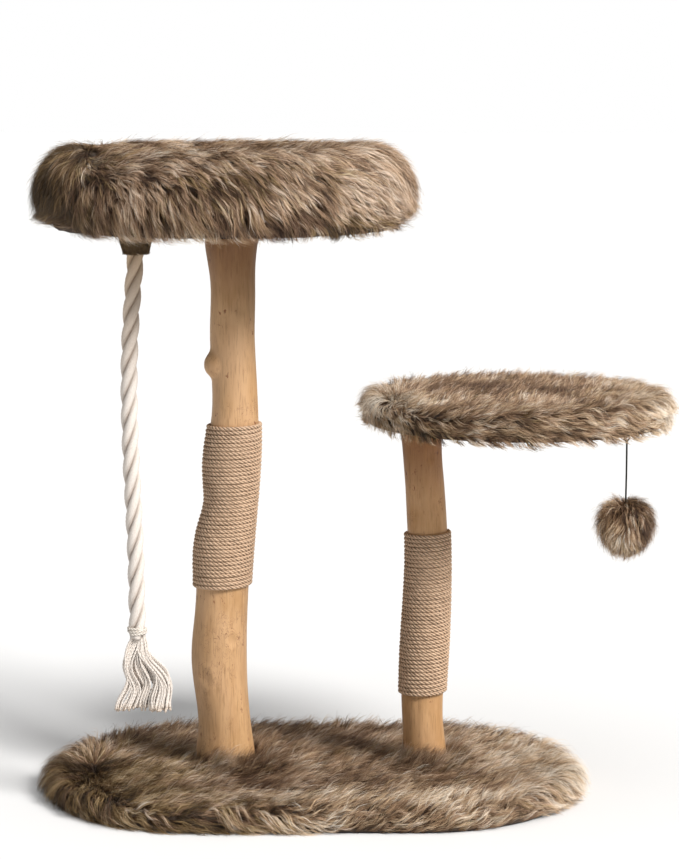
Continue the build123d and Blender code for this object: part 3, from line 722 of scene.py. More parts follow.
STRAND_RADIUS = 5.75 * MM
STRAND_OFFSET = 4.9 * MM
ROPE_LAY = 100 * MM
strands = [
    tube(path, STRAND_RADIUS, 44, lobes=11, depth=0.06, turns=-9.0)
    for path, _ in ply_paths(rope_line, 3, STRAND_OFFSET, ROPE_LAY, 56)
]
points, faces = join(strands)
fine_line = np.concatenate([np.linspace(a, b, 8, endpoint=False) for a, b in zip(rope_line, rope_line[1:])])
rope = tidy_mesh(
    mesh_piece("rope_strands", points, faces, cotton, "rope", "cotton", "hanging_rope",
               ridge=ridge_of(points, fine_line, 6.5 * MM, 10.2 * MM))
)

tail_top = np.array(ROPE_ROUTE[-1])
TWINE_STRAND = 0.95 * MM
WHIP_RADIUS = ROPE_RADIUS + 0.9 * MM
WHIP_TURNS = 2.15
turn = np.linspace(0, WHIP_TURNS * TAU, 130)
whip = np.stack(
    [
        tail_top[0] + WHIP_RADIUS * np.cos(turn - 2.2),
        tail_top[1] + WHIP_RADIUS * np.sin(turn - 2.2),
        tail_top[2] + 6 * MM + turn / TAU * 3.3 * MM,
    ],
    1,
)
plies = ply_paths(whip, 3, TWINE_STRAND, 11 * MM, 14)
points, faces = join([tube(path, TWINE_STRAND, 8) for path, _ in plies])
whipping = tidy_mesh(
    mesh_piece("whipping_twine", points, faces, twine, "rope", "twine", "rope_whipping",
               ridge=ridge_of(points, whip, 0.9 * MM, 1.9 * MM))
)

rng = np.random.default_rng(11)
TASSEL_DROP = 98 * MM
YARN = 1.15 * MM
# Each bunch at five shares of the drop, in mm: its middle (x, y), then its half width across and in depth
BUNCHES = (
    ((0, 0), (-2, -1), (-5, -2), (-3, 0), (-5, 1), (6, 9, 13, 15, 19), (6, 7, 8, 9, 12)),
    ((2, 1), (10, 2), (24, 2), (29, 0), (33, -1), (6, 8, 10, 12, 15), (6, 7, 8, 9, 11)),
)
yarns, yarn_ridges = [], []
share = np.linspace(0, 1, 34)
stations = np.linspace(0, 1, 5)
for *middles, wide, deep in BUNCHES:
    middles = np.array(middles, float)
    for lock in range(9):
        lock_place = np.array([-0.8 + 0.2 * lock, rng.uniform(-0.7, 0.7)])
        phase, speed = 2.2 + rng.normal(0, 0.5), rng.uniform(7.5, 9.5)
        for _ in range(10):
            place = np.clip(lock_place + rng.normal(0, 0.2, 2), -1, 1)
            wave = np.sin(share * speed + phase + rng.normal(0, 0.18)) * (0.3 + share) * (1 - 0.55 * share)
            wave = wave * 8.5
            middle_x, middle_y, width, depth = (
                np.interp(share, stations, values) for values in (middles[:, 0], middles[:, 1], wide, deep)
            )
            x, y = middle_x + width * place[0] + wave, middle_y + depth * place[1] + wave * 0.4
            x, y = (np.convolve(np.pad(v, 2, mode="edge"), np.ones(5) / 5, "valid") for v in (x, y))
            gathered = smooth(0, 0.12, share)
            near = np.hypot(x, y)
            held = np.minimum(1, 8.3 / np.maximum(near, 1e-6))
            x, y = x * (held + (1 - held) * gathered), y * (held + (1 - held) * gathered)
            drop = TASSEL_DROP * rng.uniform(0.90, 0.975)
            path = tail_top + np.stack([x * MM, y * MM, 5 * MM - share * (drop + 5 * MM)], 1)
            for ply, _ in ply_paths(path, 2, YARN * 0.5, 9 * MM, 7):
                yarns.append(tube(ply, YARN * 0.62 * (1 + 0.15 * np.linspace(0, 1, len(ply)) ** 6), 6))
                yarn_ridges.append(ridge_of(yarns[-1][0], path, YARN * 0.2, YARN))
points, faces = join(yarns)
tassel = mesh_piece(
    "tassel_yarns", points, faces, cotton, "rope", "cotton", "rope_tassel", ridge=np.concatenate(yarn_ridges)
)

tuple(ROPE_PIVOT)

ELASTIC_X, ELASTIC_Y = 0.401, -0.040
ELASTIC_ROUTE = [
    (ELASTIC_X, ELASTIC_Y, 0.4700),
    (0.4013, ELASTIC_Y, 0.4350),
    (0.4008, ELASTIC_Y, 0.3950),
    (ELASTIC_X, ELASTIC_Y, 0.3600),
]
elastic = new_object("elastic_line", nurbs(ELASTIC_ROUTE))
elastic.data.bevel_depth = 1.15 * MM
elastic.data.bevel_resolution = 3
elastic.data.use_fill_caps = True
elastic.data.materials.append(elastic_finish)
dress(elastic, "pompom", "elastic", "pompom_elastic")


def ring_tube(centre, radius, wire, normal_axis, count, sides, lobes, depth, turns):
    """A closed ring of twisted elastic; normal_axis is the axis that it turns round."""
    angle = np.arange(count) * TAU / count
    axes = [a for a in range(3) if a != normal_axis]
    place = np.tile(np.array(centre, float), (count, 1))
    outward = np.zeros((count, 3))
    outward[:, axes[0]], outward[:, axes[1]] = np.cos(angle), np.sin(angle)
    aside = np.zeros(3)
    aside[normal_axis] = 1
    around = np.arange(sides) * TAU / sides
    wave = wire * (1 + depth * np.cos(lobes * (around[None, :] + turns * angle[:, None])))
    points = place[:, None] + outward[:, None] * (radius + wave * np.cos(around))[..., None]
    points = points + aside * (wave * np.sin(around))[..., None]
    return points.reshape(-1, 3), grid_faces(count, sides, close_rows=True)


loop_middle, loop_size = centre_and_size("pompom_loop")
LOOP_WIRE = 0.9 * MM
points, faces = ring_tube(loop_middle, loop_size.z / 2 - LOOP_WIRE, LOOP_WIRE, 0, 64, 16, 4, 0.07, 5)
mesh_piece("elastic_loop", points, faces, elastic_finish, "pompom_loop", "elastic", "pompom_loop")
knot_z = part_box("pompom_elastic")[1].z - LOOP_WIRE - 3 * MM
knot_parts = [ring_tube((ELASTIC_X, ELASTIC_Y, knot_z), 3 * MM, LOOP_WIRE, 1, 48, 16, 4, 0.07, 4)]
for place, tilt in ((-4.1, 0.5), (-6.0, -0.5)):
    coil = ring_tube((ELASTIC_X, ELASTIC_Y, knot_z + place * MM), 1.35 * MM, 0.95 * MM, 2, 32, 12, 4, 0.07, 3)
    coil[0][:, 2] += (coil[0][:, 0] - ELASTIC_X) * tilt
    knot_parts.append(coil)
points, faces = join(knot_parts)
knot = mesh_piece("elastic_knot", points, faces, elastic_finish, "pompom", "elastic")

# Posts and their windings ------------------------------------------------------------------------


RAY = 0.12  # how far from a post's middle its measuring rays start
TALL_X, SHORT_X = -0.112, 0.145  # somewhere inside each post


def surface_radius(tree, centre_x, height, angle):
    """Distance from the post's middle to its surface at a height and angle."""
    way = Vector((math.cos(angle), math.sin(angle), 0))
    hit = tree.ray_cast(Vector((centre_x, 0, height)) + way * RAY, -way)
    return RAY - hit[3]


def post_middle(tree, inside_x, height):
    right = tree.ray_cast(Vector((inside_x + RAY, 0, height)), Vector((-1, 0, 0)))[0].x
    left = tree.ray_cast(Vector((inside_x - RAY, 0, height)), Vector((1, 0, 0)))[0].x
    return (left + right) / 2


def branch_relief(knots, seed, low, high):
    """Uneven wood: shallow hollows, ridges along the grain, and knots (angle, height, size, depth in mm)."""

    def amount(co, normal):
        outer = np.abs(normal[:, 2]) < 0.6
        inside = smooth(low, low + 0.02, co[:, 2]) * (1 - smooth(high - 0.02, high, co[:, 2]))
        broad = noise(co / np.array([1, 1, 2.5]), 0.022, seed) * 0.9
        ridge = noise(co / np.array([1, 1, 8]), 0.006, seed + 3) * 0.35
        total = broad + ridge
        for angle, height, size, depth in knots:
            way = np.array([math.cos(math.radians(angle)), math.sin(math.radians(angle)), 0])
            facing = normal @ way > 0.3
            across = np.linalg.norm(np.cross(normal, way), axis=1) * 33 * MM
            distance = np.hypot(across, (co[:, 2] - height) * 0.7) / size
            dent = np.exp(-(distance**2)) * 1.5 - np.exp(-((distance - 1.3) ** 2) * 3)
            total += np.where(facing, depth * dent, 0)
        return np.where(outer, total * inside, 0) * MM

    return amount


TALL_KNOTS = [
    (-120, 0.155, 0.008, -0.6),
    (-60, 0.205, 0.006, -0.7),
    (-70, 0.640, 0.008, -0.6),
    (60, 0.3, 0.012, -1.2),
]
STUB = (-0.136, 0, 0.565)
SHORT_KNOTS = [(-110, 0.400, 0.007, -0.5), (-70, 0.445, 0.006, -0.6), (100, 0.4, 0.01, -1.0)]
tall_box, short_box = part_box("tall_post"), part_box("short_post")
tall = remeshed(
    "tall_branch", "tall_post", 1.9 * MM, tall_wood, "stand", "branch",
    branch_relief(TALL_KNOTS, 1, tall_box[0].z + 0.01, tall_box[1].z - 0.01),
)
soften(tall, STUB, 30 * MM, 34)
remeshed(
    "short_branch", "short_post", 1.7 * MM, short_wood, "stand", "branch",
    branch_relief(SHORT_KNOTS, 2, short_box[0].z + 0.01, short_box[1].z - 0.01),
)
tall_tree, short_tree = surface_tree(nodes["tall_post"].data), surface_tree(nodes["short_post"].data)
JUTE_PITCH = 5.3 * MM
JUTE_RADIUS = 2.75 * MM
JUTE_LAY = 17 * MM


def uneven(rng, at, places, spread):
    """Random values with this spread at the places, and steady change between them."""
    return np.interp(at, places, rng.normal(0, spread, len(places)))


def winding(name, node, tree, inside_x, seed):
    """Jute rope laid round a post turn on turn, three twisted strands all the way."""
    low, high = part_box(node)
    rise = high.z - low.z - 2 * JUTE_RADIUS
    rows = round(rise / JUTE_PITCH)
    pitch = rise / rows
    steps = 72
    turn = np.arange(rows * steps + 1) / steps
    rng = np.random.default_rng(seed)
    wobble = uneven(rng, turn, np.arange(0, rows + 2, 0.4), 0.16) * MM
    path = np.empty((len(turn), 3))
    for i, share in enumerate(turn):
        height = low.z + JUTE_RADIUS + share * pitch
        if i % steps == 0:
            middle = post_middle(tree, inside_x, height)
        angle = share * TAU + 1.1
        reach = surface_radius(tree, middle, height, angle) + JUTE_RADIUS * 0.97
        path[i] = (middle + reach * math.cos(angle), reach * math.sin(angle), height + wobble[i])
    for k in (0, 1):
        path[:, k] = np.convolve(np.pad(path[:, k], 2, mode="edge"), [0.1, 0.2, 0.4, 0.2, 0.1], "valid")
    parts = []
    for line, at in ply_paths(path, 3, 1.45 * MM, JUTE_LAY, 8, start_side=(0, 0, 1)):
        swell = 1 + 0.07 * uneven(rng, at, np.arange(0, at[-1] + 0.03, 0.013), 1)
        parts.append(tube(line, 1.42 * MM * swell, 7, start_side=(0, 0, 1)))
    points, faces = join(parts)
    ridge = ridge_of(points, path, 1.7 * MM, 2.87 * MM)
    mesh_piece(name, points, faces, jute, "stand", "jute", node, ridge=ridge)


winding("tall_winding", "tall_post_wrap", tall_tree, TALL_X, 3)
winding("short_winding", "short_post_wrap", short_tree, SHORT_X, 4)

# Fur skins ---------------------------------------------------------------------------------------

SKIN_DROP = 5 * MM  # how far the roots of the fur lie under the outside of the pressed pile
CLOTH = 1.6 * MM


def turned_piece(name, profile, centre_x, around, *looks, ring=False):
    """A disc made by turning a profile, or with ring a closed profile, round an upright line."""
    points = stadium_rings(profile, centre_x, 0, around)
    faces = grid_faces(len(profile), around, close_rows=ring)
    return tidy_mesh(mesh_piece(name, points, faces, *looks))


def post_plug(low, high, count=48):
    """An upright oval plug through a place, with a little room round it."""
    angle = np.arange(count) * TAU / count
    middle, half = (low + high) / 2, (high - low) / 2
    x, y = middle.x + (half.x + 1 * MM) * np.cos(angle), middle.y + (half.y + 1 * MM) * np.sin(angle)
    rings = [np.stack([x, y, np.full(count, z)], 1) for z in (low.z, high.z)]
    points = np.concatenate([*rings, [[middle.x, middle.y, low.z], [middle.x, middle.y, high.z]]])
    i = np.arange(count)
    after = (i + 1) % count
    wall = np.stack([i, after, after + count, i + count], 1)
    floor = np.stack([after, i, np.full(count, 2 * count)], 1)
    lid = np.stack([i + count, after + count, np.full(count, 2 * count + 1)], 1)
    return points, [wall, np.concatenate([floor, lid])]


def cut(piece, low, high):
    """Cuts an upright oval hole through a piece."""
    cutter = mesh_piece("cutter", *post_plug(low, high), fur_skin, "stand", "fur")
    modifier = piece.modifiers.new("hole", "BOOLEAN")
    modifier.operation, modifier.solver, modifier.object = "DIFFERENCE", "EXACT", cutter
    apply_modifiers(piece)
    bpy.data.objects.remove(cutter)


def slab_skin(name, node, centre, straight, radius, top, bottom, hem, corner, holes=()):
    """Fur cloth stretched over a board: its top, wall, and the hem turned under it."""
    outside = [(0.0, top)] + arc_corners((radius - corner, top - corner), corner, 90, 0)
    outside += arc_corners((radius - 2 * MM, bottom + 2 * MM), 2 * MM, 0, -90, 4) + [(radius - hem, bottom)]
    inside = [(radius - hem, bottom + CLOTH)]
    inside += arc_corners((radius - 3.2 * MM, bottom + 3.2 * MM), 1.6 * MM, -90, 0, 4)
    inside += arc_corners((radius - corner, top - corner), corner - CLOTH, 0, 90) + [(0.0, top - CLOTH)]
    profile = outline(*outside, *inside, step=4 * MM)
    points = stadium_rings(profile, centre, straight, 300)
    piece = mesh_piece(name, points, grid_faces(len(profile), 300), fur_skin, "stand", "fur", node)
    tidy_mesh(piece)
    for low, high in holes:
        cut(piece, low, high)
    push(piece, lambda co, n: rough_noise(co, 9 * MM, 2) * 0.35 * MM)
    shade_smooth(piece)


def foot(tree, inside_x, height):
    """Lowest and highest corner of a post's section near a height, as a plug needs them."""
    middle = post_middle(tree, inside_x, height)
    half_x = surface_radius(tree, middle, height, 0)
    half_y = surface_radius(tree, middle, height, math.pi / 2)
    return Vector((middle - half_x, -half_y, height - 0.02)), Vector((middle + half_x, half_y, height + 0.02))


BASE_STRAIGHT = (base_size.x - base_size.y) / 2
BASE_ROOT = base_size.y / 2 - SKIN_DROP
BASE_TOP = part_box("base_fur_cover")[1].z - SKIN_DROP
FOOT_Z = 0.03  # where the posts' feet are measured
feet = [foot(tall_tree, TALL_X, FOOT_Z), foot(short_tree, SHORT_X, FOOT_Z)]


BASE_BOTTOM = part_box("base_fur_cover")[0].z
slab_skin(
    "base_fur_cloth", "base_fur_cover", base_middle.x, BASE_STRAIGHT, BASE_ROOT, BASE_TOP,
    BASE_BOTTOM + 0.2 * MM, 32 * MM, 4 * MM, feet,
)
SHELF_ROOT = shelf_size.x / 2 - SKIN_DROP
SHELF_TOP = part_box("platform_fur_cover")[1].z - SKIN_DROP
SHELF_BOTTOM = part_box("platform_fur_cover")[0].z
slab_skin(
    "shelf_fur_cloth", "platform_fur_cover", SHELF_X, 0, SHELF_ROOT, SHELF_TOP,
    SHELF_BOTTOM + 0.2 * MM, 27 * MM, 6 * MM,
)

BOLSTER_ROOT = BOLSTER_TUBE - SKIN_DROP
foot_angle = math.degrees(math.asin((BOLSTER_Z - BED_TOP - 0.3 * MM) / BOLSTER_ROOT))
bolster_middle, inner_root = (BOLSTER_RING, BOLSTER_Z), BOLSTER_ROOT - CLOTH * 0.4
profile = np.array(
    arc_corners(bolster_middle, BOLSTER_ROOT, -foot_angle, 180 + foot_angle, 64)
    + arc_corners(bolster_middle, inner_root, 180 + foot_angle - 1, -foot_angle + 1, 40)
)
bolster = turned_piece(
    "bolster_fur_cloth", profile, BED_X, 420, fur_skin, "stand", "fur", "bed_bolster_cover", ring=True
)
push(bolster, lambda co, n: (n @ UP > -0.4) * rough_noise(co, 40 * MM, 4) * 0.2 * MM)

edge_low, edge_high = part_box("bed_edge_cover")
EDGE_ROOT = (edge_high.x - edge_low.x) / 2 - SKIN_DROP
EDGE_HEM = EDGE_ROOT - 26 * MM
EDGE_TOP = edge_high.z - 0.5 * MM
outside = [(EDGE_HEM, edge_low.z + 0.2 * MM)]
outside += arc_corners((EDGE_ROOT - 3 * MM, edge_low.z + 3.2 * MM), 3 * MM, -90, 0, 6)
outside += [(EDGE_ROOT, EDGE_TOP)]
inside = [
    (EDGE_ROOT - CLOTH, EDGE_TOP),
    (EDGE_ROOT - CLOTH, edge_low.z + 1.9 * MM),
    (EDGE_HEM, edge_low.z + 1.8 * MM),
]
profile = outline(*outside, *inside, outside[0], step=3 * MM)[:-1]
edge_skin = turned_piece(
    "bed_edge_cloth", profile, BED_X, 300, fur_skin, "stand", "fur", "bed_edge_cover", ring=True
)

# Soft pieces inside and under -------------------------------------------------------------------


def lumps(size, depth, seed, inwards):
    """Uneven stuffing that stays inwards of its CAD surface."""
    return lambda co, n: rough_noise(co, size, seed) * depth - inwards


def ball_cloth(co, n):
    """The outer face lies deeper, under the pile, and the inner face makes room for it."""
    outer = (n * (co - np.array(ball_middle))).sum(1) > 0
    return np.where(outer, lumps(7 * MM, 0.8 * MM, 5, 5 * MM)(co, n), 2.2 * MM)


def boot_cloth(co, n):
    """Lumpy all over but at its mouth, which faces down."""
    return np.where(n[:, 2] > -0.5, lumps(9 * MM, 0.5 * MM, 6, 1.2 * MM)(co, n), 0)


FILLS = (
    ("bolster_stuffing", "bed_bolster_fill", 4 * MM, stuffing, "stand", "fill",
     lumps(18 * MM, 0.5 * MM, 1, 1.2 * MM)),
    ("shelf_foam", "platform_foam", 3 * MM, foam_finish, "stand", "foam",
     lumps(12 * MM, 0.15 * MM, 2, 0.4 * MM)),
    ("cushion_stuffing", "bed_cushion_fill", 4 * MM, stuffing, "cushion", "fill",
     lumps(20 * MM, 1 * MM, 3, 6.5 * MM)),
    ("pompom_stuffing", "pompom_core", 1.5 * MM, stuffing, "pompom", "fill",
     lumps(8 * MM, 0.8 * MM, 4, 3.5 * MM)),
    ("pompom_cloth", "pompom_cover", 1.2 * MM, fur_skin, "pompom", "fur", ball_cloth),
)
for fill in FILLS:
    remeshed(*fill)
boot_skin = remeshed("boot_cloth", "rope_boot", 1.2 * MM, boot_finish, "boot", "boot_fabric", boot_cloth)

# The cushion: a pressed disc that the cloth solver blows up, held near its start
cushion_low, cushion_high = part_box("bed_cushion_cover")
CUSHION_RADIUS = (cushion_high.x - cushion_low.x) / 2
CROWN_DROP = 8 * MM  # how much lower the rim of its domed top is
START = 3 * MM  # how much smaller it starts
CAP = 6 * MM  # how far the solver may move a point
CUSHION_EDGE = 12 * MM  # radius of its rounded side
CUSHION_REACH = CUSHION_RADIUS - START - 2 * MM
top, bottom, shoulder = cushion_high.z - START, cushion_low.z + 0.5 * MM, CUSHION_REACH - CUSHION_EDGE
profile = [(r, top - CROWN_DROP * (r / CUSHION_REACH) ** 2) for r in np.linspace(0, shoulder, 12)]
profile += arc_corners((shoulder, top - CROWN_DROP - 11 * MM), CUSHION_EDGE, 80, -80, 9)
profile += [(CUSHION_REACH - 14 * MM, bottom), (0.0, bottom)]
profile = outline(*profile, step=6 * MM)
cushion = turned_piece(
    "cushion_cover", profile, BED_X, 130, plush_skin, "cushion", "plush", "bed_cushion_cover"
)
modifier = cushion.modifiers.new("remesh", "REMESH")
modifier.mode, modifier.voxel_size = "VOXEL", 5 * MM
apply_modifiers(cushion)
still = coordinates(cushion.data)
cloth = cushion.modifiers.new("cloth", "CLOTH")
cloth.settings.use_pressure = True
cloth.settings.uniform_pressure_force = 4
cloth.settings.effector_weights.gravity = 0
for step in range(1, 21):
    bpy.context.scene.frame_set(step)
blown = coordinates(cushion.evaluated_get(bpy.context.evaluated_depsgraph_get()).data)
cushion.modifiers.clear()
bpy.context.scene.frame_set(1)
moved = blown - still
far = np.linalg.norm(moved, axis=1, keepdims=True)
moved *= np.minimum(1, CAP / np.maximum(far, 1e-9))
blown = still + moved
blown[:, 2] = np.clip(blown[:, 2], cushion_low.z, cushion_high.z + 4 * MM)
place_points(cushion, blown)
modifier = cushion.modifiers.new("finer", "SUBSURF")
modifier.levels = modifier.render_levels = 1
apply_modifiers(cushion)
SEAMS = (cushion_low.z + 6 * MM, cushion_high.z - 11 * MM)


def seam_and_wrinkles(co, n):
    """Two sewn grooves round the cushion's side, with small gathers beside them."""
    away = np.hypot(co[:, 0] - BED_X, co[:, 1])
    angle = np.arctan2(co[:, 1], co[:, 0] - BED_X)
    rim = away > CUSHION_REACH - 16 * MM
    total = rough_noise(co, 30 * MM, 8) * 0.5 * MM
    for seam in SEAMS:
        gap = co[:, 2] - seam
        gathers = np.exp(-((gap / (6 * MM)) ** 2)) * np.sin(angle * 70 + seam * 900)
        total -= np.where(rim, np.exp(-((gap / (1.6 * MM)) ** 2)) * 1.5 * MM, 0)
        total += np.where(rim, gathers * 0.25 * MM, 0)
    return total


push(cushion, seam_and_wrinkles)
shade_smooth(cushion)
cushion_tree = surface_tree(cushion.data)

# Zip round the back of the cushion: two tapes, a coil and a slider
zip_low, zip_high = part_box("bed_cushion_zip")
zip_z = (zip_low.z + zip_high.z) / 2
angles = np.radians(np.linspace(41, 139, 90))


def on_cushion(angle, height, out):
    """The place on the cushion's side at an angle and height, moved outwards by out."""
    way = Vector((math.cos(angle), math.sin(angle), 0))
    hit = cushion_tree.ray_cast(Vector((BED_X, 0, height)) + way * 0.3, -way)[0]
    return np.array(hit) + np.array(way) * out


zip_line = np.array([on_cushion(a, zip_z, 0.8 * MM) for a in angles])
zip_middle = np.array([BED_X, 0, zip_z])
strips = []
for low, high in ((-5, -0.7), (0.7, 5)):
    heights = [zip_z + z * MM for z in (low, (low + high) / 2, high)]
    rows = np.array([[on_cushion(a, z, 0.25 * MM) for a in angles] for z in heights])
    inner = rows - unit(rows - zip_middle) * 0.7 * MM
    tape = np.concatenate([rows, inner[::-1]]).reshape(-1, 3)
    strips.append((tape, grid_faces(6, len(angles), close_rows=True, close_columns=False)))
coils = ply_paths(zip_line, 2, 0.9 * MM, 2.2 * MM, 8, start_side=(0, 0, 1))
teeth = [tube(path, 0.45 * MM, 6, start_side=(0, 0, 1)) for path, _ in coils]
SLIDER_AT = 78  # which of the zip line's points
outwards = zip_line[SLIDER_AT] - zip_middle
slider_line = zip_line[SLIDER_AT - 3:SLIDER_AT + 3] + outwards * 0.004
slider = tube(slider_line, 2.0 * MM, 12, start_side=(0, 0, 1))
tab_top = zip_line[SLIDER_AT] + unit(outwards) * 2.4 * MM
tab_line = tab_top + np.linspace(0, 1, 8)[:, None] * (0, 0.001, -0.012)
tab = tube(tab_line, np.array([0.7, 1.0, 1.2, 1.3, 1.3, 1.2, 1.1, 0.8]) * MM, 10)
points, faces = join(strips + teeth + [slider, tab])
mesh_piece("cushion_zip", points, faces, zip_finish, "cushion", "zip", "bed_cushion_zip")

# Cloth under the bed, lining on its floor, elastic in the shelf cover's hem
under_low, under_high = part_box("bed_underside_cloth")
under_reach = (under_high.x - under_low.x) / 2
hem_inner = BED_RADIUS - 30 * MM
sheet_top = outline(
    (0.0, BED_UNDER - 0.1 * MM),
    (hem_inner - 2 * MM, BED_UNDER - 0.1 * MM),
    (hem_inner + 2 * MM, under_low.z + 1 * MM),
    (under_reach, under_low.z + 1 * MM),
    step=5 * MM,
)
sheet_low = outline(
    (under_reach, under_low.z + 0.1 * MM),
    (hem_inner + 2 * MM, under_low.z + 0.1 * MM),
    (hem_inner - 2 * MM, BED_UNDER - 1 * MM),
    (0.0, BED_UNDER - 1 * MM),
    step=5 * MM,
)
under_cloth = turned_piece(
    "bed_under_cloth", np.concatenate([sheet_top, sheet_low]), BED_X, 240, cloth_finish, "stand",
    "backing_fabric", "bed_underside_cloth",
)
POST_TOP_Z = 0.738  # where the tall post passes through the cloth
cut(under_cloth, *foot(tall_tree, -0.1, POST_TOP_Z))


def puckers(co, n):
    """The cloth's small folds where it is drawn over the hem, deeper towards its edge."""
    away = np.hypot(co[:, 0] - BED_X, co[:, 1])
    angle = np.arctan2(co[:, 1], co[:, 0] - BED_X)
    pull = smooth(hem_inner - 30 * MM, under_reach, away)
    folds = np.sin(angle * 28 + noise(co, 0.05, 3) * 3) * 0.45 * pull
    return (folds + rough_noise(co, 35 * MM, 9) * 0.25) * MM * -np.sign(n[:, 2])


push(under_cloth, puckers)

lining_low, lining_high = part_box("bed_floor_lining")
lining_reach = (lining_high.x - lining_low.x) / 2
profile = outline(
    (0.0, lining_high.z),
    (lining_reach - 1 * MM, lining_high.z),
    (lining_reach, lining_low.z + 1 * MM),
    (lining_reach, lining_low.z),
    (0.0, lining_low.z),
    step=5 * MM,
)
lining = turned_piece("bed_lining", profile, BED_X, 200, plush_skin, "stand", "plush", "bed_floor_lining")
washers_low, washers_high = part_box("bed_washers")
WASHER = 20 * MM
for x in (washers_low.x, washers_high.x - WASHER):
    low = Vector((x, -WASHER / 2, lining_low.z - 0.01))
    cut(lining, low, Vector((x + WASHER, WASHER / 2, lining_high.z + 0.01)))
push(lining, lambda co, n: np.where(n[:, 2] > 0.5, rough_noise(co, 25 * MM, 5) * 0.2 * MM - 0.1 * MM, 0))

band_low, band_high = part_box("platform_hem_elastic")
band_reach = (band_high.x - band_low.x) / 2
profile = np.array([
    (band_reach - 6 * MM, band_low.z),
    (band_reach - 3 * MM, band_low.z - 0.15 * MM),
    (band_reach, band_low.z),
    (band_reach, band_high.z),
    (band_reach - 6 * MM, band_high.z),
])
BAND_STEPS = 1080
points = stadium_rings(profile, SHELF_X, 0, BAND_STEPS)
angle = np.arctan2(points[:, 1], points[:, 0] - SHELF_X)
points[:, 2] += np.sin(angle * 96) * 0.3 * MM * (points[:, 2] < band_low.z + 0.5 * MM)
faces = grid_faces(len(profile), BAND_STEPS, close_rows=True)
mesh_piece("hem_band", points, faces, band_finish, "stand", "band", "platform_hem_elastic")

# Strands -----------------------------------------------------------------------------------------


def slab_surface(centre, straight, radius, top, corner):
    """Nearest place and outward direction on a slab's top, rounded edge and endless wall."""

    def nearest(p):
        middle = np.clip(p[:, 0] - centre, -straight, straight) + centre
        away = np.stack([p[:, 0] - middle, p[:, 1]], 1)
        reach = np.hypot(away[:, 0], away[:, 1]) + 1e-9
        out = np.stack([away[:, 0] / reach, away[:, 1] / reach, 0 * reach], 1)
        a, b = reach - (radius - corner), p[:, 2] - (top - corner)
        both = np.hypot(np.maximum(a, 1e-12), np.maximum(b, 0))
        edge = (a > 0) & (b > 0)
        wall = ~edge & (a > b)
        normal = np.where(
            edge[:, None],
            out * (np.maximum(a, 0) / both)[:, None] + UP * (np.maximum(b, 0) / both)[:, None],
            np.where(wall[:, None], out, UP),
        )
        gap = np.where(edge, both - corner, np.where(wall, a - corner, b - corner))
        return p - normal * gap[:, None], normal

    return nearest


def egg_surface(centre, ring, half_width, up, down, height):
    """A ring whose section is an oval: up over its middle height and down under it."""

    def nearest(p):
        away = np.stack([p[:, 0] - centre, p[:, 1]], 1)
        reach = np.hypot(away[:, 0], away[:, 1]) + 1e-9
        out = np.stack([away[:, 0] / reach, away[:, 1] / reach, 0 * reach], 1)
        a, b = reach - ring, p[:, 2] - height
        half = np.where(b > 0, up, down)
        grow = 1 / np.maximum(np.hypot(a / half_width, b / half), 1e-9)
        far = ring + a * grow
        place = np.stack([centre + out[:, 0] * far, out[:, 1] * far, height + b * grow], 1)
        return place, unit(out * (a / half_width**2)[:, None] + UP * (b / half**2)[:, None])

    return nearest


def ball_surface(centre, radius):
    centre = np.array(centre, float)

    def nearest(p):
        normal = unit(p - centre)
        return centre + normal * radius, normal

    return nearest


def mesh_surface(tree):
    def nearest(p):
        found = [tree.find_nearest(Vector(place)) for place in p]
        return np.array([f[0] for f in found]), np.array([f[1] for f in found])

    return nearest


def mesh_roots(rng, count, piece, keep=lambda middle, normal: True):
    """Even random places on a mesh, on the faces that keep allows."""
    mesh = piece.data
    mesh.calc_loop_triangles()
    chosen = [t for t in mesh.loop_triangles if keep(t.center, t.normal)]
    area = np.array([t.area for t in chosen])
    picked = rng.choice(len(chosen), count, p=area / area.sum())
    co = coordinates(mesh)
    share = np.sort(rng.uniform(0, 1, (count, 2)), axis=1)
    weights = np.column_stack([share[:, 0], share[:, 1] - share[:, 0], 1 - share[:, 1]])
    corners = co[np.array([chosen[i].vertices[:] for i in picked])]
    return (corners * weights[..., None]).sum(1)


def slab_roots(rng, count, centre, straight, radius, top, bottom):
    """Even random places over a slab's top and wall."""
    top_area = math.pi * radius**2 + 4 * straight * radius
    rim = TAU * radius + 4 * straight
    wall = top - bottom
    on_top = int(count * top_area / (top_area + rim * wall))
    tries = rng.uniform(-1, 1, (on_top * 2, 2)) * (straight + radius, radius)
    inside = np.hypot(tries[:, 0] - np.clip(tries[:, 0], -straight, straight), tries[:, 1]) < radius
    flat = tries[inside][:on_top]
    flat = np.column_stack([flat[:, 0] + centre, flat[:, 1], np.full(len(flat), top)])
    number = count - on_top
    at = rng.uniform(0, rim, number)
    arc = math.pi * radius
    side, rest = np.divmod(at, arc + 2 * straight)
    on_arc = rest < arc
    angle = np.where(on_arc, rest / arc, 1) * math.pi - math.pi / 2 + side * math.pi
    middle = np.where(on_arc, straight, straight - (rest - arc)) * np.where(side == 0, 1, -1)
    upright = np.column_stack(
        [centre + middle + radius * np.cos(angle), radius * np.sin(angle), rng.uniform(bottom, top, number)]
    )
    return np.concatenate([flat, upright])


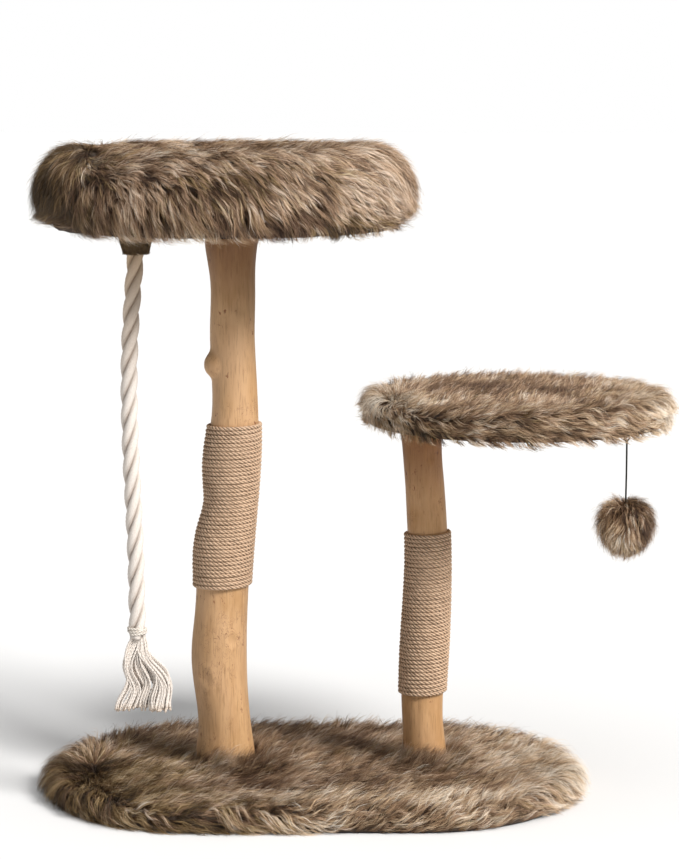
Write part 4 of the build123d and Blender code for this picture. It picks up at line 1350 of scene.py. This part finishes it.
def egg_roots(rng, count, centre, ring, half_width, up, down, height, low, high):
    """Even random places on that ring between two angles, measured from outwards over the top."""
    angle = rng.uniform(low, high, count * 3)
    half = np.where(angle % TAU < math.pi, up, down)
    weight = np.hypot(half_width * np.sin(angle), half * np.cos(angle)) * (ring + half_width * np.cos(angle))
    kept = np.flatnonzero(rng.uniform(0, weight.max(), len(weight)) < weight)[:count]
    angle, half = angle[kept], half[kept]
    turn = rng.uniform(0, TAU, len(angle))
    reach = ring + half_width * np.cos(angle)
    z = height + half * np.sin(angle)
    return np.column_stack([centre + reach * np.cos(turn), reach * np.sin(turn), z])


def ball_roots(rng, count, centre, radius):
    return np.array(centre) + unit(rng.normal(size=(count, 3))) * radius


def turned(vectors, axis, angle):
    """Vectors turned about unit axes that are square to them."""
    return vectors * np.cos(angle)[:, None] + np.cross(axis, vectors) * np.sin(angle)[:, None]


KNOTS = 9  # points of a lock's guide line
PROUD = 13 * MM  # strands that reach further past the CAD box are drawn back


def guides(roots, surface, comb, length, loft, curl, lift, rng):
    """Lock lines that follow the comb over the surface and rise off it: points, normals, tangents."""
    place, normal = surface(roots)
    loft = loft * lift(place, normal)
    step = length / (KNOTS - 1)
    lines, normals, ways = [], [], []
    phase = noise(roots, 24 * MM, 12) * 5 + rng.normal(0, 0.5, len(roots))
    speed = rng.uniform(0.7, 1.1, len(roots))
    bend = noise(roots, 13 * MM, 13) * 0.3 + rng.normal(0, 0.08, len(roots))
    for number in range(KNOTS):
        share = number / (KNOTS - 1)
        way = comb(place)
        way = unit(way - normal * (way * normal).sum(1, keepdims=True))
        swing = curl * np.sin(TAU * speed * share + phase) + bend * (share + 0.4)
        way = turned(way, normal, swing)
        rise = loft * (1 - (1 - share) ** 3)
        lines.append(place + normal * rise[:, None])
        normals.append(normal)
        ways.append(way)
        place, normal = surface(place + way * step[:, None])
    return np.stack(lines, 1), np.stack(normals, 1), np.stack(ways, 1)


def fur(name, rng, roots, surface, comb, tones, each, length, loft, width, segments, spread, gather, curl,
        body, finish=fur_strand, slot="fur", lay_down=0.0, floor=None, posts=(), stray=0.25, pieces=1,
        shade=0.0, upright=0.0, lift=lambda place, normal: 1.0, sink=None, hem=None):
    """Locks of tapered strands: each strands round every guide line. length, loft and width are
    (least, most), and tones gives each lock's family and tone."""
    count = len(roots)
    lengths, lofts = rng.uniform(*length, count), rng.uniform(*loft, count)
    line, normal, way = guides(roots, surface, comb, lengths, lofts, curl, lift, rng)
    family, tone = tones(roots)
    lock = np.repeat(np.arange(count), each)
    number = len(lock)
    reach = rng.uniform(0.6, 1.0, number)
    share = np.linspace(0, 1, segments + 1)
    at = share[None, :] * reach[:, None] * (KNOTS - 1)
    low = np.minimum(at.astype(int), KNOTS - 2)
    part = (at - low)[..., None]
    rows = lock[:, None]
    pick = lambda table: table[rows, low] * (1 - part) + table[rows, low + 1] * part
    path, out, ahead = pick(line), unit(pick(normal)), unit(pick(way))
    across = unit(np.cross(out, ahead))
    offset = rng.normal(0, spread, (number, 2))
    shrink = 1 - (1 - gather) * share**0.8
    stands = np.where(rng.uniform(0, 1, number) < upright, rng.uniform(0.08, 0.3, number), 0) * lengths[lock]
    stood = stands[:, None] * share**1.4
    path = path + (
        ahead * offset[:, 0, None, None] * shrink[None, :, None]
        + across * offset[:, 1, None, None] * shrink[None, :, None]
        + out * ((rng.uniform(-0.35, 0.35, number) * lofts[lock])[:, None] * share + stood)[..., None]
        - ahead * stood[..., None]
    )
    wild = rng.normal(0, stray, (number, 2)) * lengths[lock][:, None] * 0.35
    astray, raised = wild[:, 0, None] * share**1.7, np.abs(wild[:, 1, None]) * share**2
    path = path + across * astray[..., None] + out * raised[..., None] * 0.6
    wave = rng.uniform(0.3, 1, number) * curl * 1.6 * MM
    phase = share * rng.uniform(7, 13, number)[:, None] + rng.uniform(0, TAU, number)[:, None]
    path = path + across * (wave[:, None] * np.sin(phase) * share)[..., None]
    path[..., 2] -= lay_down * share**2 * lengths[lock][:, None]
    if sink is not None:
        path -= out * (sink(path[:, 0])[:, None] * (1 - share) ** 1.5)[..., None]
    if hem is not None:
        uneven_hem = noise(path[:, 0], 16 * MM, 6)[:, None] * 5 * MM
        lowest = hem + uneven_hem + rng.uniform(-2 * MM, 2 * MM, number)[:, None]
        under = path[..., 2] < lowest
        kept = rng.uniform(0.15, 0.65, number)[:, None]
        path[..., 2] = np.where(under, lowest - (lowest - path[..., 2]) * kept, path[..., 2])
    if floor is not None:
        path[..., 2] = np.maximum(path[..., 2], floor + rng.uniform(0, 1.5 * MM, number)[:, None])
    for axis, (least, most) in enumerate(zip(*cad_box)):
        for edge, way in ((least, -1), (most, 1)):
            past = np.maximum((path[..., axis] - edge) * way - PROUD, 0)
            path[..., axis] -= way * past * 0.75
    for low_corner, high_corner in posts:
        middle, half = (low_corner + high_corner) / 2, (high_corner - low_corner) / 2
        x = (path[..., 0] - middle.x) / (half.x + 1.5 * MM)
        y = (path[..., 1] - middle.y) / (half.y + 1.5 * MM)
        near = np.hypot(x, y) + 1e-9
        grow = np.where(near < 1, 1 / near, 1)
        path[..., 0] = middle.x + (path[..., 0] - middle.x) * grow
        path[..., 1] = middle.y + (path[..., 1] - middle.y) * grow
    roll = rng.uniform(-0.9, 0.9, number)
    run = unit(np.gradient(path, axis=1))
    aside = unit(np.cross(out, run))
    aside = aside * np.cos(roll)[:, None, None] + np.cross(run, aside) * np.sin(roll)[:, None, None]
    widths = rng.uniform(*width, number)[:, None] * (1 - share**1.6 * 0.85)[None, :]
    left, right = path - aside * widths[..., None] / 2, path + aside * widths[..., None] / 2
    mixed = tone[lock] + shade + rng.normal(0, 0.09, number)
    mixed = mixed + np.where(rng.uniform(0, 1, number) < 0.1, -0.3, 0)
    column = family[lock] * FAMILY + np.clip(mixed * (FAMILY - 1), 0, FAMILY - 1).astype(int)
    made = []
    for piece_number in range(pieces):
        these = np.arange(piece_number, number, pieces)
        made.append(strand_mesh(f"{name}_{piece_number + 1}", path[these], left[these], right[these],
                                column[these], share, finish, body, slot))
    return made


def strand_mesh(name, path, left, right, column, share, finish, body, slot):
    """One mesh of ribbons that end in a point, with each one's tone across its UV map."""
    number, rows = path.shape[0], path.shape[1] - 1
    edges = np.stack([left[:, :rows], right[:, :rows]], 2).reshape(number, -1, 3)
    points = np.concatenate([edges, path[:, -1:]], 1)
    each = 2 * rows + 1
    k = np.arange(rows - 1)
    quad = np.stack([2 * k, 2 * k + 1, 2 * k + 3, 2 * k + 2], 1)
    tip = np.array([[2 * rows - 2, 2 * rows - 1, 2 * rows]])
    start = np.arange(number)[:, None, None] * each
    quads, tips = (quad[None] + start).reshape(-1, 4), (tip[None] + start).reshape(-1, 3)
    half = 0.3 / TONES
    middle = (column[:, None] + 0.5) / TONES
    sides = [np.tile(middle - half, rows), np.tile(middle + half, rows)]
    u = np.concatenate([np.stack(sides, 2).reshape(number, -1), middle], 1)
    v = np.concatenate([np.repeat(share[:rows], 2), share[-1:]])
    v = np.broadcast_to(v * 0.98 + 0.01, (number, each))
    return mesh_piece(
        name, points.reshape(-1, 3), [quads, tips], finish, body, slot, columns=u.ravel(), rows=v.ravel()
    )


def tone_field(lean, seed, patches, streak=(1, 1, 1)):
    """Lock tones from patches over the pelt: (x, y, z, reach, tone added, family) each.
    Some locks are nearly cream and some nearly black; both gather in streaks."""

    def tones(p):
        rng = np.random.default_rng(seed)
        slim = noise(p / np.array(streak), 11 * MM, seed + 2)
        tone = 0.47 + lean + rough_noise(p, 42 * MM, seed) * 0.22 + slim * 0.24 + rng.normal(0, 0.12, len(p))
        odd = rng.uniform(0, 1, len(p)) + slim * 0.35
        tone += np.where(odd > 0.87, 0.32, np.where(odd < 0.12, -0.36, 0))
        chance = noise(p, 50 * MM, seed + 7) * 0.5 + rng.normal(0, 0.3, len(p))
        family = np.where(chance > 0.25, CREAM, np.where(chance < -0.42, OLIVE, TAUPE))
        for x, y, z, reach, added, kind in patches:
            near = np.exp(-(((p - np.array([x, y, z])) / np.array(reach)) ** 2).sum(1))
            tone = tone + added * near
            if kind is not None:
                family = np.where(rng.uniform(0, 1, len(p)) < near * 1.1, kind, family)
        return family, np.clip(tone, 0.02, 1)

    return tones


def comb_field(build, seed, swirl, size=70 * MM):
    """A combing direction with slow swirls added."""

    def comb(p):
        way = build(p)
        angle = rough_noise(p, size, seed) * swirl
        cos, sin = np.cos(angle), np.sin(angle)
        x = way[:, 0] * cos - way[:, 2] * sin * 0.7 - way[:, 1] * sin
        return np.stack([x, way[:, 1] * cos + way[:, 0] * sin, way[:, 2] + way[:, 0] * sin * 0.6], 1)

    return comb


def bed_comb(p):
    """Locks run to the right along the top and curve down over the sides; the left end falls outwards."""
    left = 1 - smooth(-0.305, -0.25, p[:, 0])
    drop = 1 - smooth(0.752, 0.832, p[:, 2])
    right = smooth(-0.18, 0.10, p[:, 0])
    out = p[:, 1] / 0.24
    x = (1 - 0.62 * drop * (1 - right)) * (1 - left) - 0.8 * left
    rim = 1 - smooth(0.742, 0.760, p[:, 2])
    down = -0.12 - drop * (1.45 - 1.05 * right) - 1.3 * rim
    part = 4 * left * (1 - left)
    y = out * (0.3 + 0.45 * left + 0.5 * part)
    return np.stack([x, y, down * (1 - left) - 0.5 * left - 0.8 * part], 1)


def shelf_comb(p):
    """Side: swept right, nearly level. Top: swept back and right. Both ends fan outwards."""
    left = 1 - smooth(0.055, 0.15, p[:, 0])
    part = 4 * left * (1 - left)
    far = smooth(0.36, 0.43, p[:, 0])
    top = smooth(0.503, 0.513, p[:, 2]) * smooth(-0.175, -0.09, p[:, 1])
    rim = 1 - smooth(SHELF_BOTTOM, SHELF_BOTTOM + 9 * MM, p[:, 2])
    side_way = np.stack([np.ones(len(p)), p[:, 1] * 0.8, -0.12 - 0.9 * rim], 1)
    top_way = np.stack([np.full(len(p), 1.0), np.full(len(p), 0.9), np.zeros(len(p))], 1)
    fan = np.stack([p[:, 0] - SHELF_X, p[:, 1] * 1.2, np.full(len(p), -0.01)], 1) * 6
    end = np.maximum(left, far * 0.75)[:, None]
    way = side_way * (1 - top[:, None]) + top_way * top[:, None]
    way[:, 1] += np.clip(p[:, 1] / (30 * MM), -1, 1) * part * 1.3
    way[:, 2] -= part * 0.9 * (1 - top)
    return way * (1 - end) + fan * end


def base_comb(p):
    """Swept right over the top; the left end falls outwards and the right half of the front is brushed up."""
    left = 1 - smooth(-0.345, -0.22, p[:, 0])
    part = 4 * left * (1 - left)
    brushed = smooth(-0.01, 0.05, p[:, 0]) * smooth(0.08, 0.15, -p[:, 1]) * (1 - smooth(0.24, 0.30, p[:, 0]))
    end = smooth(0.25, 0.32, p[:, 0])
    wall = 1 - smooth(0.014, 0.024, p[:, 2])
    x = 1 - 1.7 * left
    y = p[:, 1] * (0.8 + 3 * left + 3 * end + 6 * part) + 0.5 * brushed * (1 - wall) + 0.4 * (p[:, 1] > 0.08)
    z = -0.12 - 0.2 * wall + 0.85 * brushed * wall
    return np.stack([x, y, z], 1)


def ball_comb(p):
    """Hangs down and fans out, most of all under the ball."""
    away = p - np.array(ball_middle)
    out = 8 + 24 * smooth(-2 * MM, 12 * MM, -away[:, 2])
    turn = noise(p, 16 * MM, 5) * 0.5
    return np.stack([away[:, 0] * out + 0.12 + turn, away[:, 1] * out - turn, np.full(len(p), -1.0)], 1)


bed_tones = tone_field(0.03, 21, [
    (-0.325, -0.08, 0.79, (0.062, 0.3, 0.09), -0.4, OLIVE),
    (-0.10, -0.22, 0.755, (0.14, 0.1, 0.016), -0.14, None),
    (-0.02, -0.2, 0.775, (0.045, 0.1, 0.02), -0.18, TAUPE),
    (-0.08, -0.2, 0.83, (0.16, 0.1, 0.02), 0.16, None),
    (-0.21, -0.2, 0.81, (0.05, 0.08, 0.03), 0.14, TAUPE),
    (-0.13, -0.2, 0.75, (0.06, 0.1, 0.015), 0.18, CREAM),
    (0.09, -0.12, 0.80, (0.08, 0.2, 0.05), 0.24, TAUPE),
    (0.05, -0.2, 0.755, (0.05, 0.1, 0.015), -0.14, OLIVE),
], (2.2, 1, 1))
shelf_tones = tone_field(0.0, 22, [
    (0.125, -0.16, 0.495, (0.045, 0.09, 0.012), -0.44, OLIVE),
    (0.08, -0.06, 0.51, (0.055, 0.13, 0.05), 0.62, CREAM),
    (0.22, 0.02, 0.52, (0.12, 0.06, 0.02), -0.26, TAUPE),
    (0.27, -0.11, 0.53, (0.10, 0.022, 0.02), -0.2, TAUPE),
    (0.43, -0.08, 0.51, (0.06, 0.15, 0.04), 0.48, CREAM),
    (0.27, -0.17, 0.505, (0.1, 0.05, 0.012), 0.04, CREAM),
], (2.5, 1, 1))
base_tones = tone_field(0.07, 23, [
    (-0.35, -0.06, 0.02, (0.05, 0.1, 0.05), -0.42, OLIVE),
    (-0.24, -0.1, 0.02, (0.09, 0.12, 0.05), 0.03, OLIVE),
    (-0.14, -0.2, 0.005, (0.13, 0.06, 0.02), -0.22, OLIVE),
    (-0.04, -0.10, 0.03, (0.15, 0.035, 0.03), -0.14, TAUPE),
    (0.02, 0.12, 0.03, (0.1, 0.05, 0.03), -0.16, TAUPE),
    (0.30, 0.0, 0.03, (0.09, 0.14, 0.04), 0.30, CREAM),
    (0.12, -0.17, 0.02, (0.13, 0.05, 0.03), 0.06, CREAM),
    (-0.02, -0.19, 0.015, (0.06, 0.04, 0.02), 0.12, CREAM),
], (3, 1, 1))
ball_tones = tone_field(0.03, 24, [
    (ball_middle.x + 0.013, ball_middle.y - 0.022, ball_middle.z + 0.012, (0.014,) * 3, -0.46, TAUPE),
    (ball_middle.x - 0.012, ball_middle.y - 0.02, ball_middle.z, (0.02,) * 3, 0.18, CREAM),
])

BASE_FORM = (base_middle.x, BASE_STRAIGHT, BASE_ROOT, BASE_TOP)
SHELF_FORM = (SHELF_X, 0.0, SHELF_ROOT, SHELF_TOP)
BED_FORM = (BED_X, BOLSTER_RING, 42 * MM, 54 * MM, 44 * MM, BOLSTER_Z - 13 * MM)
SWIRL = 0.42  # how much the combing turns from place to place
BED_HEM = 0.7375  # height where the bed's fringe ends
BALL_ROOT = 25 * MM
# shade darkens the undercoat and lightens the guard hairs over it: partly their own colours, partly painted
# shade deep in the pile
UNDER = dict(each=14, length=(0.016, 0.026), loft=(3 * MM, 9 * MM), width=(0.42 * MM, 0.72 * MM), segments=3,
             spread=2.3 * MM, gather=0.6, curl=0.3, stray=0.2, shade=-0.16)
GUARD = dict(each=8, length=(0.024, 0.040), loft=(7 * MM, 14 * MM), width=(0.28 * MM, 0.5 * MM), segments=4,
             spread=1.15 * MM, gather=0.25, curl=0.36, stray=0.08, upright=0.2, shade=0.03)


def pelt(name, seed, make_roots, surface, comb, tones, under, guard, under_pieces, guard_pieces, body="stand",
         under_with={}, guard_with={}, **more):
    """An undercoat and the longer guard hairs over it."""
    rng = np.random.default_rng(seed)
    way = comb_field(comb, seed, SWIRL)
    fur(name + "_under", rng, make_roots(rng, under), surface, way, tones, body=body, pieces=under_pieces,
        **{**UNDER, **more, **under_with})
    fur(name + "_guard", rng, make_roots(rng, guard), surface, way, tones, body=body, pieces=guard_pieces,
        **{**GUARD, **more, **guard_with})


def off_posts(roots):
    """Leaves out the roots that the posts stand on."""
    keep = np.ones(len(roots), bool)
    for low, high in feet:
        middle, half = (low + high) / 2, (high - low) / 2
        keep &= np.hypot((roots[:, 0] - middle.x) / half.x, (roots[:, 1] - middle.y) / half.y) > 1.03
    return roots[keep]


def base_lift(place, normal):
    """The pile stands up round the posts, where it is crowded, and lies flatter on the wall."""
    rise = 0.65 + 0.75 * smooth(0.1, 0.8, normal[:, 2])
    for low, high in feet:
        middle, half = (low + high) / 2, (high - low) / 2
        gap = (np.hypot((place[:, 0] - middle.x) / half.x, (place[:, 1] - middle.y) / half.y) - 1) * half.x
        rise += 2.1 * np.exp(-((gap / (24 * MM)) ** 2))
    return rise


def top_lift(place, normal):
    return 0.6 + 0.4 * smooth(0.1, 0.8, normal[:, 2])


def bed_lift(place, normal):
    return 1 - 0.35 * smooth(0.2, 0.9, normal[:, 2])


def bed_sink(place):
    """Depth of the bed's own cloth under the surface that carries its fur."""
    reach = np.hypot(place[:, 0] - BED_X, place[:, 1])
    gap = np.hypot(reach - BOLSTER_RING, place[:, 2] - BOLSTER_Z) - BOLSTER_ROOT
    edge = np.where(place[:, 2] < edge_high.z + 4 * MM, reach - EDGE_ROOT, 1)
    return np.clip(np.minimum(gap, edge), 0, 12 * MM)


def ball_lift(place, normal):
    """Longest at its bottom, so that the ball looks round though its hair hangs."""
    return 0.76 + 0.16 * np.abs(normal[:, 2]) + 0.3 * smooth(0.7, 1, -normal[:, 2])


base_surface, ball_pelt = slab_surface(*BASE_FORM, 8 * MM), ball_surface(ball_middle, BALL_ROOT)
pelt("base_fur", 31, lambda r, n: off_posts(slab_roots(r, n, *BASE_FORM, BASE_BOTTOM + 2 * MM)), base_surface,
     base_comb, base_tones, 5600, 9000, 3, 3, floor=0.5 * MM, posts=feet, lay_down=0.06, lift=base_lift)
pelt("shelf_fur", 32, lambda r, n: slab_roots(r, n, *SHELF_FORM, SHELF_BOTTOM + 1 * MM),
     slab_surface(*SHELF_FORM, 9 * MM), shelf_comb, shelf_tones, 3100, 5200, 2, 2, lay_down=0.06,
     lift=top_lift, hem=SHELF_BOTTOM - 2 * MM,
     guard_with=dict(length=(0.018, 0.030), gather=0.5, spread=1.6 * MM))
pelt("bed_fur", 33, lambda r, n: egg_roots(r, n, *BED_FORM, -0.98, math.pi + 0.45), egg_surface(*BED_FORM),
     bed_comb, bed_tones, 6200, 10400, 3, 3, lay_down=0.1, lift=bed_lift, sink=bed_sink, hem=BED_HEM)
pelt("pompom_fur", 35, lambda r, n: ball_roots(r, n, ball_middle, BALL_ROOT), ball_pelt, ball_comb,
     ball_tones, 520, 1040, 1, 1, body="pompom", lay_down=0.05, lift=ball_lift,
     under_with=dict(length=(0.012, 0.020), loft=(7 * MM, 13 * MM)),
     guard_with=dict(length=(0.014, 0.023), loft=(13 * MM, 18 * MM), upright=0.3))


def ring_roots(rng, low, high, count):
    """Places close round a post's foot."""
    middle, half = (low + high) / 2, (high - low) / 2
    turn, gap = rng.uniform(0, TAU, count), rng.uniform(1 * MM, 11 * MM, count)
    x, y = middle.x + (half.x + gap) * np.cos(turn), (half.y + gap) * np.sin(turn)
    return np.column_stack([x, y, np.full(count, BASE_TOP)])


for number, (low, high) in enumerate(feet):
    rng = np.random.default_rng(40 + number)
    fur(f"base_fur_collar_{number + 1}", rng, ring_roots(rng, low, high, 620), base_surface,
        comb_field(base_comb, 31, SWIRL), base_tones, each=11, length=(0.012, 0.024), loft=(22 * MM, 34 * MM),
        width=(0.3 * MM, 0.55 * MM), segments=4, spread=2 * MM, gather=0.6, curl=0.4, body="stand",
        posts=feet, stray=0.15)

rng = np.random.default_rng(38)
tuft_roots = ball_roots(rng, 900, ball_middle, BALL_ROOT)
tuft_roots = tuft_roots[tuft_roots[:, 2] > ball_middle.z + 17 * MM]
fur("pompom_tuft", rng, tuft_roots, ball_pelt, ball_comb, ball_tones, each=8, length=(0.006, 0.014),
    loft=(9 * MM, 16 * MM), width=(0.3 * MM, 0.5 * MM), segments=3, spread=1.4 * MM, gather=0.5, curl=0.4,
    body="pompom", stray=0.3, upright=0.3)


def even_comb(p):
    return np.stack([np.full(len(p), 0.25), noise(p, 60 * MM, 3) * 0.4, np.full(len(p), -1.0)], 1)


def boot_tones(p):
    return np.full(len(p), OLIVE), np.clip(0.27 + noise(p, 5 * MM, 2) * 0.16, 0, 1)


def outside_boot(c, n):
    """Only the boot's outer wall carries pile."""
    return n.z > -0.4 and n.z < 0.9 and (Vector(c.xy) - Vector(ROPE_PIVOT[:2])).dot(n.xy) > 0


rng = np.random.default_rng(36)
boot_pile = fur("boot_pile", rng, mesh_roots(rng, 330, boot_skin, outside_boot),
                mesh_surface(surface_tree(boot_skin.data)), even_comb, boot_tones, each=20,
                length=(0.006, 0.011), loft=(0.8 * MM, 2 * MM), width=(0.3 * MM, 0.5 * MM), segments=2,
                spread=1.6 * MM, gather=0.7, curl=0.2, body="boot", slot="boot_fabric", stray=0.2)
for piece in [boot_skin, *boot_pile]:  # the boot stays sewn to the bed
    piece.parent = None
    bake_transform(piece)
    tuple(ROPE_PIVOT)


def plush_tones(p):
    return np.full(len(p), CREAM), np.clip(0.45 + rough_noise(p, 35 * MM, 2) * 0.22, 0, 1)


def off_zip(c, n):
    """Pile grows on the cushion's top and sides, but not on its zip."""
    near_zip = c.y > 0.05 and abs(c.z - zip_z) < 6 * MM
    return n.z > -0.5 and not (near_zip and math.hypot(c.x - BED_X, c.y) > CUSHION_REACH - 8 * MM)


def plush_comb(p):
    angle = rough_noise(p, 60 * MM, 4) * 2.2
    return np.stack([np.cos(angle), np.sin(angle), 0 * angle - 0.3], 1)


rng = np.random.default_rng(37)
fur("cushion_pile", rng, mesh_roots(rng, 1700, cushion, off_zip), mesh_surface(cushion_tree), plush_comb,
    plush_tones, each=20, length=(0.005, 0.008), loft=(1.5 * MM, 3.2 * MM), width=(0.7 * MM, 1.1 * MM),
    segments=2, spread=3.6 * MM, gather=0.9, curl=0.3, body="cushion", finish=plush_strand, slot="plush",
    stray=0.3)

# The floor, and the end --------------------------------------------------------------------------

FLOOR = 30  # half its side
floor = new_object("floor", bpy.data.meshes.new("floor"))
corners = [(-FLOOR, -FLOOR, 0), (FLOOR, -FLOOR, 0), (FLOOR, FLOOR, 0), (-FLOOR, FLOOR, 0)]
floor.data.from_pydata(corners, [], [(0, 1, 2, 3)])
floor.data.materials.append(floor_finish.material)
